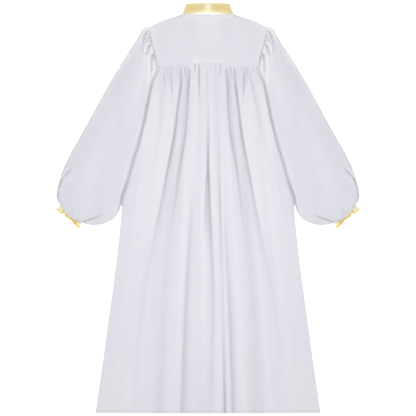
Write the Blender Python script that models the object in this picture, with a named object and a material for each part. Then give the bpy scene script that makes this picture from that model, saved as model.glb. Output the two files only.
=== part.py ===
"""Choir robe laid flat, back upwards.

Satin stand collar, smooth back yoke, back skirt gathered into the yoke, two plain fronts
underneath, full bishop sleeves and narrow elastic cuffs.

Frame: X across the robe, Y from hem to collar, Z up out of the back, origin under the middle.
Sizes are millimetres here and become metres in cloth_wall and flat_panel. "Down" is the
distance below the collar's top edge, and "out" is the distance from the centre line.
"""
import math
from collections import namedtuple

import bmesh
import bpy
import numpy as np

MM = 0.001

# Driving sizes
ROBE_LENGTH = 1409.0
CLOTH = 1.2
SEAM_GAP = 0.3
ARMHOLE_GAP = 0.5

COLLAR_HEIGHT = 37.0
COLLAR_BASE_HALF = 88.0
COLLAR_TOP_HALF = 72.5
COLLAR_ARCH = 30.0
COLLAR_TOP_ARCH = 26.0
COLLAR_SQUARENESS = 2.4
COLLAR_FULLNESS = 0.7
COLLAR_DIP = 1.5
FRONT_NECK_DROP = 60.0
FRONT_OPENING = 1.5
FRONT_NECK_GAP = 0.8
FOLD_STEP = 0.4
COLLAR_BACK_COLUMNS = 25
COLLAR_FRONT_COLUMNS = 9
COLLAR_ROWS = 4

YOKE_DOWN = 216.0
YOKE_RISE = 9.0
RAISED_HALF = 54.0
RAISED_END = 62.0
RAISED_FADE = 285.0
UNDERARM_CORNER = 227.0
YOKE_COLUMNS = (0.0, 14.0, 28.0, 41.0, RAISED_HALF, RAISED_END, 76.5, 90.0, 106.0, 122.0, 138.0, 156.0)
YOKE_ROWS = 13

# Heights of the cloth's upper side above the surface that the robe lies on
PANEL_EDGE = CLOTH + SEAM_GAP + CLOTH
SHOULDER_EDGE = 3.2
ARMHOLE_EDGE = 8.6
YOKE_MIDDLE = 12.5
YOKE_SIDE_RUN = 80.0
YOKE_TOP_RUN = 60.0
ARCH_RUN = 42.0
ARCH_POWER = 1.4
UNDER_SLEEVE = 3.0
SLEEVE_BED = 3.6
LOWEST_VALLEY = 3.9
VALLEY_ROUNDING = 0.83
SKIRT_FULLNESS = 3.5
SIDE_STEEPNESS = 60.0
SEAM_RUN = 45.0

# How far the sleeve's lower layer stays above the body outside its edge, then comes down
BED_MARGIN = 6.0
BED_RAMP = 14.0
SLEEVE_CLEARANCE = 16.0
STRIP_RISE = 26.0
SLEEVE_END_DOWN = 760.0
SLEEVE_EDGE_RADIUS = 7.0
EDGE_INSET = 3.2

Station = namedtuple("Station", "down out")

SHOULDER_LINE = (
    Station(37.3, 88.5),
    Station(42.0, 100.0),
    Station(52.4, 131.0),
    Station(64.5, 166.0),
    Station(81.0, 200.0),
)
ARMHOLE = (
    Station(81.0, 200.0),
    Station(113.0, 195.0),
    Station(137.0, 190.0),
    Station(165.0, 182.8),
    Station(189.0, 176.5),
    Station(213.0, 173.0),
    Station(227.0, 173.5),
)
SIDE_SEAM = (
    Station(227.0, 173.5),
    Station(285.0, 238.0),
    Station(696.0, 295.0),
    Station(851.0, 310.0),
    Station(1024.0, 332.0),
    Station(1196.0, 354.5),
    Station(1409.0, 385.0),
)

# Long lines of the skirt: where each runs at six levels, and how deep its valley is there
LEVELS = (216.0, 350.0, 560.0, 780.0, 1020.0, 1409.0)
Line = namedtuple("Line", "name across depth left right columns_after")
LINES = (
    Line("left pleat, outer edge", (-93, -104, -139, -180, -227, -262), (8, 11, 11, 7, 3, 0), 5, 26, 7),
    Line("left pleat, inner edge", (-62, -74, -99, -126, -152, -183), (8, 9, 9, 6, 3, 2), 15, 7, 8),
    Line("left hem fold", (-30, -30, -45, -60, -76, -89), (0, 0, 1, 7, 9, 10), 9, 14, 6),
    Line("centre fold", (-3, -1, 0, 6, 17, 8), (0, 3, 7, 12, 8, 1), 7, 9, 8),
    Line("thin right fold", (30, 33, 38, 44, 51, 59), (0, 2, 6, 6, 3, 8), 5, 7, 3),
    Line("right hem fold", (46, 50, 56, 61, 75, 88), (0, 0, 0, 4, 7, 9), 7, 10, 4),
    Line("right pleat, inner edge", (62, 71, 98, 126, 157, 176), (8, 9, 9, 6, 3, 2), 7, 15, 7),
    Line("right pleat, outer edge", (91, 106, 138, 178, 229, 262), (8, 11, 11, 7, 3, 0), 26, 5, 19),
)
SIDE_COLUMNS = 19
VALLEYS = (
    Line("left broad valley", (-62, -74, -99, -126, -152, -183), (0, 0, 0, 3, 5, 5), 30, 30, 0),
    Line("right broad valley", (62, 71, 98, 126, 157, 176), (0, 0, 0, 3, 5, 5), 30, 30, 0),
)
SKIRT_ROWS = (216, 227, 240, 258, 285, 320, 365, 420, 485, 555, 627, 696, 775, 851,
              940, 1024, 1110, 1196, 1300, 1409)
SKIRT_LOFT = (8.8, 15.0, 16.0, 16.0, 16.0, 16.0)

# Short creases: from one end to the other, bowed to the right by so much, with its depth
Crease = namedtuple("Crease", "x0 down0 x1 down1 bow depth left right")
SKIRT_CREASES = (
    Crease(-155, 220, -186, 560, 12, 2.5, 12, 10),
    Crease(-128, 222, -119, 351, -2, 2.0, 5, 4),
    Crease(-29, 218, -29, 352, 0, 1.5, 3, 3),
    Crease(122, 222, 117, 333, 6, 2.0, 4, 5),
    Crease(148, 230, 190, 575, 10, 2.5, 10, 12),
)

# Gathers under the yoke: how many, and the least and most of each measure
GATHERS = 34
GATHER_SPAN = 163.0
GATHER_DEPTH = (1.0, 2.6)
GATHER_LENGTH = (16.0, 60.0)
GATHER_HALF = 2.6
GATHER_START = 12.0
GOLDEN = 0.618034

# Rings of a sleeve, from the armhole to the cuff: its outer and inner edge, its height and bow,
# how far it has puffed up from the armhole's seam, and how deep its gathers are
Ring = namedtuple("Ring", "out_a down_a out_b down_b loft bow head gather")
SLEEVE_RINGS = (
    Ring(200.5, 81.0, 174.0, 227.0, 8.0, 0.0, 0.0, 0.6),
    Ring(213.0, 85.0, 186.0, 251.0, 14.0, 1.0, 0.35, 2.4),
    Ring(227.0, 96.0, 196.5, 275.0, 19.0, 1.0, 0.75, 2.2),
    Ring(245.0, 121.5, 203.5, 306.0, 23.0, 1.0, 1.0, 1.4),
    Ring(271.0, 161.0, 210.5, 341.0, 25.0, 1.0, 1.0, 0.5),
    Ring(303.5, 213.0, 221.0, 396.0, 26.0, 0.0, 1.0, 0.0),
    Ring(334.5, 264.5, 233.0, 444.0, 26.0, 0.0, 1.0, 0.0),
    Ring(372.5, 333.5, 246.5, 496.0, 26.0, 0.0, 1.0, 0.0),
    Ring(410.5, 402.5, 260.5, 541.0, 26.5, 0.0, 1.0, 0.0),
    Ring(445.0, 464.5, 273.5, 589.0, 27.0, 0.0, 1.0, 0.0),
    Ring(472.5, 513.0, 286.0, 634.0, 28.0, 0.0, 1.0, 0.0),
    Ring(493.5, 556.0, 297.0, 665.0, 28.0, 1.0, 1.0, 0.0),
    Ring(507.0, 592.5, 303.5, 696.0, 28.0, 2.0, 1.0, 0.3),
    Ring(515.5, 630.0, 315.5, 718.5, 26.0, 3.0, 1.0, 0.6),
    Ring(521.0, 661.5, 338.0, 741.0, 23.0, 4.0, 1.0, 1.1),
    Ring(519.0, 675.0, 365.5, 756.5, 20.0, 6.0, 1.0, 1.6),
    Ring(514.0, 685.5, 397.0, 761.5, 16.0, 9.0, 1.0, 2.0),
    Ring(509.0, 694.0, 434.5, 756.5, 11.0, 12.5, 1.0, 1.4),
)
SLEEVE_CREASES = (
    Crease(203, 85, 228, 170, 11, 3.5, 5, 5),
    Crease(193, 137, 218, 162, 2, 3.0, 4, 4),
    Crease(197, 106, 226, 128, 2, 2.5, 4, 4),
    Crease(186, 161, 192, 241, 4, 3.0, 4, 5),
    Crease(473, 575, 516, 634, 3, 4.0, 6, 5),
    Crease(434, 751, 362, 725, 2, 5.0, 8, 5),
    Crease(300, 330, 318, 520, 0, 1.5, 20, 20),
)
SLEEVE_TOP_COLUMNS = 22
FIRST_FINE_RING = 11
SLEEVE_FULLNESS = 0.8
SHOULDER_RISE = (81.0, 141.0)
MOST_THICKENING = 1.6
CLOSEST_LAYERS = 0.5
THINNEST = 0.8

# Rim of a cuff: how far it reaches from the seam's ends and its height, across the cuff
CuffRim = namedtuple("CuffRim", "place reach loft")
CUFF_RIM = (
    CuffRim(0.00, 20.0, 9.0),
    CuffRim(0.20, 18.5, 13.0),
    CuffRim(0.38, 17.5, 10.0),
    CuffRim(0.58, 15.5, 6.5),
    CuffRim(0.72, 16.5, 9.0),
    CuffRim(0.86, 19.0, 13.0),
    CuffRim(1.00, 22.0, 9.0),
)
CUFF_FLARE = 5.0
CUFF_SHARES = (0.0, 0.3, 0.65, 1.0)
CUFF_WAVE = 1.2
CUFF_WAVES = 61.0
CUFF_GAP = 0.4

WHITE_CLOTH = ("white_cloth", (0.76, 0.76, 0.81), 0.75)
GOLD_SATIN = ("gold_satin", (0.80, 0.60, 0.20), 0.35)


def smoothstep(low, high, value):
    """Ease from 0 at low to 1 at high."""
    share = np.clip((value - low) / (high - low), 0.0, 1.0)
    return share * share * (3.0 - 2.0 * share)


def along(stations, down):
    """Distance out at a distance down, on straight runs between stations."""
    return np.interp(down, [s.down for s in stations], [s.out for s in stations])


def curve_through(places, values, at):
    """Smooth curve through values at places: cubic pieces with slopes from their neighbours."""
    places = np.asarray(places, float)
    values = np.asarray(values, float)
    slopes = np.gradient(values, places)
    at = np.clip(at, places[0], places[-1])
    low = np.clip(np.searchsorted(places, at, side="right") - 1, 0, len(places) - 2)
    width = places[low + 1] - places[low]
    t = (at - places[low]) / width
    return ((2 * t ** 3 - 3 * t ** 2 + 1) * values[low]
            + (t ** 3 - 2 * t ** 2 + t) * width * slopes[low]
            + (3 * t ** 2 - 2 * t ** 3) * values[low + 1]
            + (t ** 3 - t ** 2) * width * slopes[low + 1])


def trough(offset, left, right):
    """Profile of a fold line: 1 on the line, dying away over left and right of it."""
    reach = np.where(offset < 0.0, left, right)
    return np.exp((1.0 - np.hypot(offset, 1.0)) / reach)


def crease_depth(creases, x, down):
    """Depth of short creases, each strongest near its start and gone at its end."""
    depth = np.zeros_like(x)
    for crease in creases:
        run_x, run_down = crease.x1 - crease.x0, crease.down1 - crease.down0
        length = math.hypot(run_x, run_down)
        share = ((x - crease.x0) * run_x + (down - crease.down0) * run_down) / length ** 2
        side = ((x - crease.x0) * run_down - (down - crease.down0) * run_x) / length
        side = side - crease.bow * 4.0 * share * (1.0 - share)
        strength = smoothstep(0.0, 0.12, share) * (1.0 - smoothstep(0.45, 1.0, share))
        depth += crease.depth * strength * trough(side, crease.left, crease.right)
    return depth


def neck_edge(x):
    """Collar's back seam: distance down at x."""
    return COLLAR_HEIGHT + COLLAR_DIP * (1.0 - (np.abs(x) / COLLAR_BASE_HALF) ** 2)


def neck_arch(x, half=COLLAR_BASE_HALF, arch=COLLAR_ARCH):
    """Height of the collar's arched back at x, down to the shoulder's height at its sides."""
    share = np.clip(np.abs(x) / half, 0.0, 1.0)
    rounded = (1.0 - share ** COLLAR_SQUARENESS) ** COLLAR_FULLNESS
    return SHOULDER_EDGE + (arch - SHOULDER_EDGE) * rounded


def yoke_seam(x):
    """Seam between yoke and skirt: distance down at x, raised in the middle."""
    return YOKE_DOWN - np.interp(np.abs(x), (RAISED_HALF, RAISED_END), (YOKE_RISE, 0.0))


def top_edge(x):
    """Upper edge of the yoke: the collar's seam, then the shoulder line."""
    out = np.abs(x)
    shoulder = np.interp(out, [s.out for s in SHOULDER_LINE], [s.down for s in SHOULDER_LINE])
    return np.where(out < COLLAR_BASE_HALF, neck_edge(x), shoulder)


def yoke_height(x, down):
    """Height of the yoke: low at its outer edges, arched up to the collar."""
    below = down - top_edge(x)
    inside = smoothstep(0.0, YOKE_SIDE_RUN, along(ARMHOLE, down) - np.abs(x))
    lower = ARMHOLE_EDGE + (YOKE_MIDDLE - ARMHOLE_EDGE) * inside
    flat = SHOULDER_EDGE + (lower - SHOULDER_EDGE) * smoothstep(0.0, YOKE_TOP_RUN, below)
    arch = np.where(np.abs(x) < COLLAR_BASE_HALF, neck_arch(x), SHOULDER_EDGE)
    fade = np.exp(-(np.maximum(below, 0.0) / ARCH_RUN) ** ARCH_POWER)
    return flat + (arch - SHOULDER_EDGE) * fade


def sleeve_edge(down):
    """Inner edge of the sleeve, which lies over the skirt's side."""
    rings = SLEEVE_RINGS[:14]
    return np.interp(down, [ring.down_b for ring in rings], [ring.out_b for ring in rings])


def gather_rows():
    """Gathers at uneven places along the yoke's seam, as (place, depth, length)."""
    rows = []
    for number in range(GATHERS):
        odd = (number * GOLDEN) % 1.0
        even = (number * GOLDEN * GOLDEN + 0.37) % 1.0
        place = GATHER_SPAN * (2.0 * (number + 0.35 + 0.45 * odd) / GATHERS - 1.0)
        depth = GATHER_DEPTH[0] + (GATHER_DEPTH[1] - GATHER_DEPTH[0]) * even
        length = GATHER_LENGTH[0] + (GATHER_LENGTH[1] - GATHER_LENGTH[0]) * odd * even
        rows.append((place, depth, length))
    return rows


def gather_depth(x, down):
    """Depth of the small gathers, which start at the yoke's seam and die away below it."""
    below = np.maximum(down - yoke_seam(x), 0.0)
    start = smoothstep(0.0, GATHER_START, below)
    depth = np.zeros_like(x)
    for place, deep, length in gather_rows():
        centre = place * (1.0 + 0.0008 * below)
        fade = start * np.exp(-below / length)
        depth += deep * fade * trough(x - centre, GATHER_HALF, GATHER_HALF)
    return depth


def skirt_height(x, down):
    """Height of the back skirt: a lofted sheet cut by its fold lines, flat under the sleeves."""
    half = along(SIDE_SEAM, down)
    share = np.clip(np.abs(x) / half, 0.0, 1.0)
    loft = curve_through(LEVELS, SKIRT_LOFT, down)
    folds = np.zeros_like(x)
    for line in LINES + VALLEYS:
        centre = curve_through(LEVELS, line.across, down)
        deep = np.maximum(curve_through(LEVELS, line.depth, down), 0.0)
        folds += deep * trough(x - centre, line.left, line.right)
    folds += crease_depth(SKIRT_CREASES, x, down)
    height = PANEL_EDGE + loft * (1.0 - share ** SKIRT_FULLNESS) - folds
    above = (height - LOWEST_VALLEY) / VALLEY_ROUNDING
    height = LOWEST_VALLEY + np.logaddexp(0.0, above) * VALLEY_ROUNDING
    height = np.minimum(height, PANEL_EDGE + SIDE_STEEPNESS * (1.0 - share))
    below = np.maximum(down - yoke_seam(x), 0.0)
    seam = yoke_height(x, yoke_seam(x))
    height = seam + (height - seam) * smoothstep(0.0, SEAM_RUN, below) - gather_depth(x, down)
    inside = sleeve_edge(down) - SLEEVE_CLEARANCE - np.abs(x)
    over_strip = smoothstep(0.0, STRIP_RISE, inside)
    under_sleeve = (down >= UNDERARM_CORNER) & (down < SLEEVE_END_DOWN)
    strip = UNDER_SLEEVE + (height - UNDER_SLEEVE) * over_strip
    height = np.where(under_sleeve, np.minimum(height, strip), height)
    return np.where(share >= 1.0, PANEL_EDGE, height)


def lower_side(points):
    """Points of a panel's lower side: straight below its upper side, further where it is steep."""
    x, y, z = points[..., 0], points[..., 1], points[..., 2]
    across = np.abs(np.diff(z, axis=1)) / np.maximum(np.abs(np.diff(x, axis=1)), 0.5)
    lengthwise = np.abs(np.diff(z, axis=0)) / np.maximum(np.abs(np.diff(y, axis=0)), 0.5)
    slope = np.zeros_like(z)
    slope[:, :-1] = np.maximum(slope[:, :-1], across)
    slope[:, 1:] = np.maximum(slope[:, 1:], across)
    slope[:-1] = np.maximum(slope[:-1], lengthwise)
    slope[1:] = np.maximum(slope[1:], lengthwise)
    lowered = points.copy()
    lowered[..., 2] -= CLOTH * np.clip(np.hypot(1.0, slope), 1.0, MOST_THICKENING)
    lowered[..., 2] = np.maximum(lowered[..., 2], CLOTH + SEAM_GAP)
    return lowered


def make_material(name, colour, roughness):
    """Plain cloth finish."""
    material = bpy.data.materials.get(name) or bpy.data.materials.new(name)
    material.use_nodes = True
    shader = material.node_tree.nodes["Principled BSDF"]
    shader.inputs["Base Color"].default_value = (*colour, 1.0)
    shader.inputs["Roughness"].default_value = roughness
    shader.inputs["Metallic"].default_value = 0.0
    return material


def cloth_wall(name, outer, inner, finish, collection, closed=False):
    """Make one solid from two matching grids of points, joined along their open edges.

    Both grids are cut into triangles along the same diagonals, so the wall can't cross itself.
    """
    rows, columns, _ = outer.shape
    bm = bmesh.new()
    skins = [[[bm.verts.new(point) for point in row] for row in grid * MM] for grid in (outer, inner)]
    cells = columns if closed else columns - 1
    for skin in skins:
        for row in range(rows - 1):
            for column in range(cells):
                beside = (column + 1) % columns
                near, far = skin[row][column], skin[row + 1][beside]
                bm.faces.new((near, skin[row][beside], far))
                bm.faces.new((near, far, skin[row + 1][column]))
    for row in (0, rows - 1):
        for column in range(cells):
            beside = (column + 1) % columns
            bm.faces.new((skins[0][row][column], skins[0][row][beside],
                          skins[1][row][beside], skins[1][row][column]))
    if not closed:
        for column in (0, columns - 1):
            for row in range(rows - 1):
                bm.faces.new((skins[0][row][column], skins[0][row + 1][column],
                              skins[1][row + 1][column], skins[1][row][column]))
    bmesh.ops.recalc_face_normals(bm, faces=bm.faces)
    mesh = bpy.data.meshes.new(name)
    bm.to_mesh(mesh)
    bm.free()
    mesh.shade_smooth()
    mesh.materials.append(make_material(*finish))
    collection.objects.link(bpy.data.objects.new(name, mesh))


def flat_panel(name, outline, finish, collection):
    """Make one flat panel on the surface from its outline, as a filled curve."""
    curve = bpy.data.curves.new(name, "CURVE")
    curve.dimensions = "2D"
    curve.fill_mode = "BOTH"
    curve.extrude = CLOTH * MM / 2.0
    spline = curve.splines.new("POLY")
    spline.points.add(len(outline) - 1)
    for point, (x, y) in zip(spline.points, outline):
        point.co = (x * MM, y * MM, 0.0, 1.0)
    spline.use_cyclic_u = True
    curve.materials.append(make_material(*finish))
    panel = bpy.data.objects.new(name, curve)
    panel.location.z = CLOTH * MM / 2.0
    collection.objects.link(panel)


def in_frame(x, down, z):
    """Points in the robe's frame from distances across, down and up."""
    return np.stack(np.broadcast_arrays(x, ROBE_LENGTH / 2.0 - down, z), axis=-1).astype(float)


def collar_row(share):
    """Outer and inner points along the collar at a share of its height, centre front to front.

    The back part arches up over the back neck. The two front parts lie flat on the surface.
    """
    half = COLLAR_BASE_HALF + (COLLAR_TOP_HALF - COLLAR_BASE_HALF) * share
    arch = COLLAR_ARCH + (COLLAR_TOP_ARCH - COLLAR_ARCH) * share
    side_height = SHOULDER_EDGE / 2.0
    x_back = half * np.sin(np.linspace(-1.0, 1.0, COLLAR_BACK_COLUMNS) * math.pi / 2.0)
    x_front = half - (half - FRONT_OPENING) * np.linspace(0.0, 1.0, COLLAR_FRONT_COLUMNS)[1:] ** 1.3
    z_back = neck_arch(x_back, half, arch)
    z_back[[0, -1]] = side_height

    drop = FRONT_NECK_DROP * np.sqrt(1.0 - (x_front / half) ** 2)
    x = np.concatenate((-x_front[::-1], x_back, x_front))
    base = np.concatenate((COLLAR_HEIGHT + drop[::-1],
                           neck_edge(x_back * COLLAR_BASE_HALF / half) - SEAM_GAP,
                           COLLAR_HEIGHT + drop))
    on_back = np.zeros(len(x))
    on_back[len(x_front) + 1:-len(x_front) - 1] = 1.0
    dip = COLLAR_DIP * (1.0 - (x / half) ** 2) * on_back
    down = base - (COLLAR_HEIGHT + dip) * share

    slope = np.gradient(z_back, x_back)
    steep = np.hypot(1.0, slope)
    limit = half - 1.3 * CLOTH
    x_in = np.clip(x_back + CLOTH * slope / steep, -limit, limit)
    x_in[[0, -1]] = -limit, limit
    z_in = np.maximum(z_back - CLOTH / steep, side_height)
    z_in[[0, -1]] = side_height
    x_front_in = np.minimum(x_front, limit - FOLD_STEP)
    low, high = np.zeros(len(x_front)), np.full(len(x_front), CLOTH)
    outer = in_frame(x, down, np.concatenate((low, z_back, low)))
    inner = in_frame(np.concatenate((-x_front_in[::-1], x_in, x_front_in)), down,
                     np.concatenate((high, z_in, high)))
    return outer, inner


def make_collar(collection):
    """Stand collar: a band arched over the back neck, flat in front, open at centre front."""
    rows = [collar_row(share) for share in np.linspace(0.0, 1.0, COLLAR_ROWS)]
    outer, inner = (np.array(grid) for grid in zip(*rows))
    cloth_wall("collar", outer, inner, GOLD_SATIN, collection)


def make_yoke(collection):
    """Back yoke: smooth, from the collar and shoulders to the gathered seam."""
    bottom = along(ARMHOLE, YOKE_DOWN)
    places = np.array(YOKE_COLUMNS + (bottom,)) / bottom
    share = np.linspace(0.0, 1.0, YOKE_ROWS)[:, None]
    across = np.concatenate((-places[:0:-1], places))[None, :]
    side_down = SHOULDER_LINE[-1].down + (YOKE_DOWN - SHOULDER_LINE[-1].down) * share
    x = across * along(ARMHOLE, side_down)
    upper = top_edge(across * SHOULDER_LINE[-1].out)
    lower = yoke_seam(across * along(ARMHOLE, YOKE_DOWN)) - SEAM_GAP
    down = upper + (lower - upper) * share
    points = in_frame(x, down, yoke_height(x, down))
    cloth_wall("back_yoke", points, lower_side(points), WHITE_CLOTH, collection)


def skirt_columns(down):
    """Places across the skirt at one level: evenly spaced between its side seams and lines."""
    half = float(along(SIDE_SEAM, down))
    lines = [float(curve_through(LEVELS, line.across, down)) for line in LINES]
    stops = [-half] + lines + [half]
    counts = [SIDE_COLUMNS] + [line.columns_after for line in LINES]
    places = [np.linspace(start, end, count, endpoint=False)
              for start, end, count in zip(stops, stops[1:], counts)]
    return np.concatenate(places + [[half]])


def make_skirt(collection):
    """Back skirt: gathered at the yoke, with long folds to the hem."""
    x = np.array([skirt_columns(down) for down in SKIRT_ROWS])
    level = np.array(SKIRT_ROWS, float)[:, None]
    raised = (YOKE_DOWN - yoke_seam(x)) * (1.0 - smoothstep(YOKE_DOWN, RAISED_FADE, level))
    down = level - raised
    points = in_frame(x, down, skirt_height(x, down))
    cloth_wall("back_skirt", points, lower_side(points), WHITE_CLOTH, collection)


def front_outline(side):
    """Outline of one front: shoulder, armhole, side seam, hem, centre front and neck."""
    first, *others = SHOULDER_LINE[:-1]
    shoulder = [(first.out + FRONT_NECK_GAP, first.down)] + [(s.out, s.down) for s in others]
    levels = np.linspace(ARMHOLE[0].down, ARMHOLE[-1].down, 13)
    armhole = [(float(along(ARMHOLE, down)), down) for down in levels]
    side_seam = [(station.out, station.down) for station in SIDE_SEAM[1:]]
    centre = [(SEAM_GAP, ROBE_LENGTH)]
    neck = []
    for angle in np.linspace(math.pi / 2.0, 0.04, 12):
        out = COLLAR_BASE_HALF * math.cos(angle) + FRONT_NECK_GAP
        down = COLLAR_HEIGHT + FRONT_NECK_DROP * math.sin(angle) + FRONT_NECK_GAP
        neck.append((out if neck else SEAM_GAP, down))
    points = [(side * out, ROBE_LENGTH / 2.0 - down)
              for out, down in shoulder + armhole + side_seam + centre + neck]
    return points if side > 0 else points[::-1]


def body_distance(out, down):
    """Distance outside the body's outline under the sleeve: negative over the body."""
    corner, underarm, low = SIDE_SEAM[0], SIDE_SEAM[1], SIDE_SEAM[2]
    result = None
    for start, end in ((corner, underarm), (underarm, low)):
        run_out, run_down = end.out - start.out, end.down - start.down
        length = math.hypot(run_out, run_down)
        gone = ((out - start.out) * run_down - (down - start.down) * run_out) / length
        result = gone if result is None else np.maximum(result, gone)
    return result


def sleeve_bed(out, down):
    """Height of the sleeve's underside: flat on the surface, raised where it lies on the body."""
    beyond = body_distance(out, down) - BED_MARGIN
    return SLEEVE_BED * np.clip(1.0 - beyond / BED_RAMP, 0.0, 1.0)


def fine_rings():
    """The sleeve's rings on smooth curves, with one more between each two near the cuff."""
    numbers = np.arange(len(SLEEVE_RINGS))
    between = numbers[FIRST_FINE_RING:-1] + 0.5
    places = np.sort(np.concatenate((numbers, between)))
    measures = [curve_through(numbers, values, places) for values in zip(*SLEEVE_RINGS)]
    return [Ring(*map(float, values)) for values in zip(*measures)]


def ring_place(ring, share):
    """Plan position on a sleeve ring at a share of the way from its outer to its inner edge."""
    if ring.head == 0.0:
        down = ring.down_a + (ring.down_b - ring.down_a) * share
        return along(ARMHOLE, down) + ARMHOLE_GAP, down
    run_out, run_down = ring.out_b - ring.out_a, ring.down_b - ring.down_a
    length = math.hypot(run_out, run_down)
    bow = ring.bow * 4.0 * share * (1.0 - share) / length
    return (ring.out_a + run_out * share + run_down * bow,
            ring.down_a + run_down * share - run_out * bow)


def first_share(shares, inside):
    """First share at which a ring is inside a zone, or 1 where it never is."""
    return float(shares[np.argmax(inside)]) if inside.any() else 1.0


def lower_shares(ring, width):
    """Shares for a ring's lower layer, with one at each end of the step onto the body."""
    fine = np.linspace(0.0, 1.0, 401)
    beyond = body_distance(*ring_place(ring, fine))
    edge = EDGE_INSET / width
    step_top = min(first_share(fine, beyond < BED_MARGIN), 1.0 - 3.0 * edge)
    step_foot = min(first_share(fine, beyond < BED_MARGIN + BED_RAMP), step_top - 2.0 * edge)
    before_end = (step_top + 1.0 - edge) / 2.0
    return np.array((edge, 0.35 * step_foot, 0.7 * step_foot, step_foot, step_top,
                     before_end, 1.0 - edge))


def sleeve_top(ring, share, width):
    """Height of a ring's upper layer: rounded edges, a soft dome, creases and gathers."""
    out, down = ring_place(ring, share)
    bed = sleeve_bed(out, down)
    inward = np.minimum(share, 1.0 - share) * width
    near = np.clip(inward / SLEEVE_EDGE_RADIUS, 0.0, 1.0)
    rounded = SLEEVE_EDGE_RADIUS * np.sqrt(1.0 - (1.0 - near) ** 2)
    dome = np.sin(math.pi * share) ** SLEEVE_FULLNESS
    number = np.arange(len(share))
    gathers = ring.gather * (number % 2) * (0.6 + 0.8 * (number * GOLDEN % 1.0))
    lofted = bed + np.minimum(rounded, ring.loft)
    lofted += dome * max(ring.loft - SLEEVE_EDGE_RADIUS, 0.0)
    lofted -= crease_depth(SLEEVE_CREASES, out, down) + gathers
    seam = np.interp(down, SHOULDER_RISE, (SHOULDER_EDGE, ARMHOLE_EDGE))
    seam = np.maximum(seam, bed + SHOULDER_EDGE)
    return np.maximum(seam + (lofted - seam) * ring.head, bed + SHOULDER_EDGE)


def sleeve_ring(ring):
    """Outer and inner points round one sleeve ring: outer edge, top, inner edge, underside."""
    width = math.hypot(ring.out_b - ring.out_a, ring.down_b - ring.down_a)
    edge = EDGE_INSET / width
    spread = np.linspace(0.0, 1.0, SLEEVE_TOP_COLUMNS + 1)[1:-1]
    eased = 0.5 - 0.5 * np.cos(math.pi * spread)
    top_share = np.clip(0.5 * (spread + eased), edge, 1.0 - edge)
    low_share = lower_shares(ring, width)[::-1]
    inset = 1.5 * CLOTH / width

    out, down = ring_place(ring, top_share)
    top = sleeve_top(ring, top_share, width)
    low_out, low_down = ring_place(ring, low_share)
    low = sleeve_bed(low_out, low_down)
    end_out, end_down = ring_place(ring, np.array((0.0, 1.0)))
    inset_out, inset_down = ring_place(ring, np.array((inset, 1.0 - inset)))
    end_height = sleeve_bed(end_out, end_down) + SHOULDER_EDGE / 2.0

    steep = np.hypot(1.0, np.gradient(top, top_share * width))
    floor = np.interp(top_share, low_share[::-1], low[::-1]) + CLOTH
    ceiling = np.maximum(top - CLOTH * np.clip(steep, 1.0, MOST_THICKENING), floor + CLOSEST_LAYERS)
    ceiling = np.minimum(ceiling, top - THINNEST)
    outer = (np.concatenate((end_out[:1], out, end_out[1:], low_out)),
             np.concatenate((end_down[:1], down, end_down[1:], low_down)),
             np.concatenate((end_height[:1], top, end_height[1:], low)))
    inner = (np.concatenate((inset_out[:1], out, inset_out[1:], low_out)),
             np.concatenate((inset_down[:1], down, inset_down[1:], low_down)),
             np.concatenate((end_height[:1], ceiling, end_height[1:], low + CLOTH)))
    return np.stack(outer, axis=-1), np.stack(inner, axis=-1)


def placed_ring(points, side):
    """A ring's points in the robe's frame, on the left (-1) or right (1) side."""
    return in_frame(side * points[:, 0], points[:, 1], points[:, 2])


def make_sleeve(name, side, collection):
    """Bishop sleeve: a flattened tube through its rings, open at the armhole and the cuff."""
    rings = [sleeve_ring(ring) for ring in fine_rings()]
    outer = np.array([placed_ring(ring[0], side) for ring in rings])
    inner = np.array([placed_ring(ring[1], side) for ring in rings])
    cloth_wall(name, outer, inner, WHITE_CLOTH, collection, closed=True)


def make_cuff(name, side, collection):
    """Elastic cuff: a short flattened tube, drawn in at its waist and flared in two lobes."""
    seam = SLEEVE_RINGS[-1]
    seam_outer, seam_inner = sleeve_ring(seam)
    run_out, run_down = seam.out_b - seam.out_a, seam.down_b - seam.down_a
    length = math.hypot(run_out, run_down)
    along_seam = np.array((run_out, run_down)) / length
    to_hand = np.array((run_down, -run_out)) / length
    start = np.array((seam.out_a, seam.down_a))
    places = [rim.place for rim in CUFF_RIM]
    outer, inner = [], []
    wall = seam_outer[:, 2] - seam_inner[:, 2]
    lift = np.maximum(seam_outer[:, 2] - SHOULDER_EDGE, 0.0)
    for share in CUFF_SHARES:
        for source, result in ((seam_outer, outer), (seam_inner, inner)):
            offset = source[:, :2] - start
            place = offset @ along_seam / length
            bulge = offset @ to_hand
            reach = curve_through(places, [rim.reach for rim in CUFF_RIM], place)
            loft = curve_through(places, [rim.loft for rim in CUFF_RIM], place)
            away = bulge + CUFF_GAP + (reach - bulge - CUFF_GAP) * share
            flare = (place - 0.5) * 2.0 * CUFF_FLARE * share
            plan = start + np.outer(place * length + flare, along_seam) + np.outer(away, to_hand)
            wave = CUFF_WAVE * np.sin(place * CUFF_WAVES) * math.sin(math.pi * share)
            growth = (loft / seam.loft - 1.0) * share
            height = seam_outer[:, 2] + np.where(lift > 0.0, lift * growth + wave, 0.0)
            if source is seam_inner:
                height = height - wall
            result.append(np.column_stack((plan, height)))
    outer = np.array([placed_ring(ring, side) for ring in outer])
    inner = np.array([placed_ring(ring, side) for ring in inner])
    cloth_wall(name, outer, inner, GOLD_SATIN, collection, closed=True)


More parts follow.
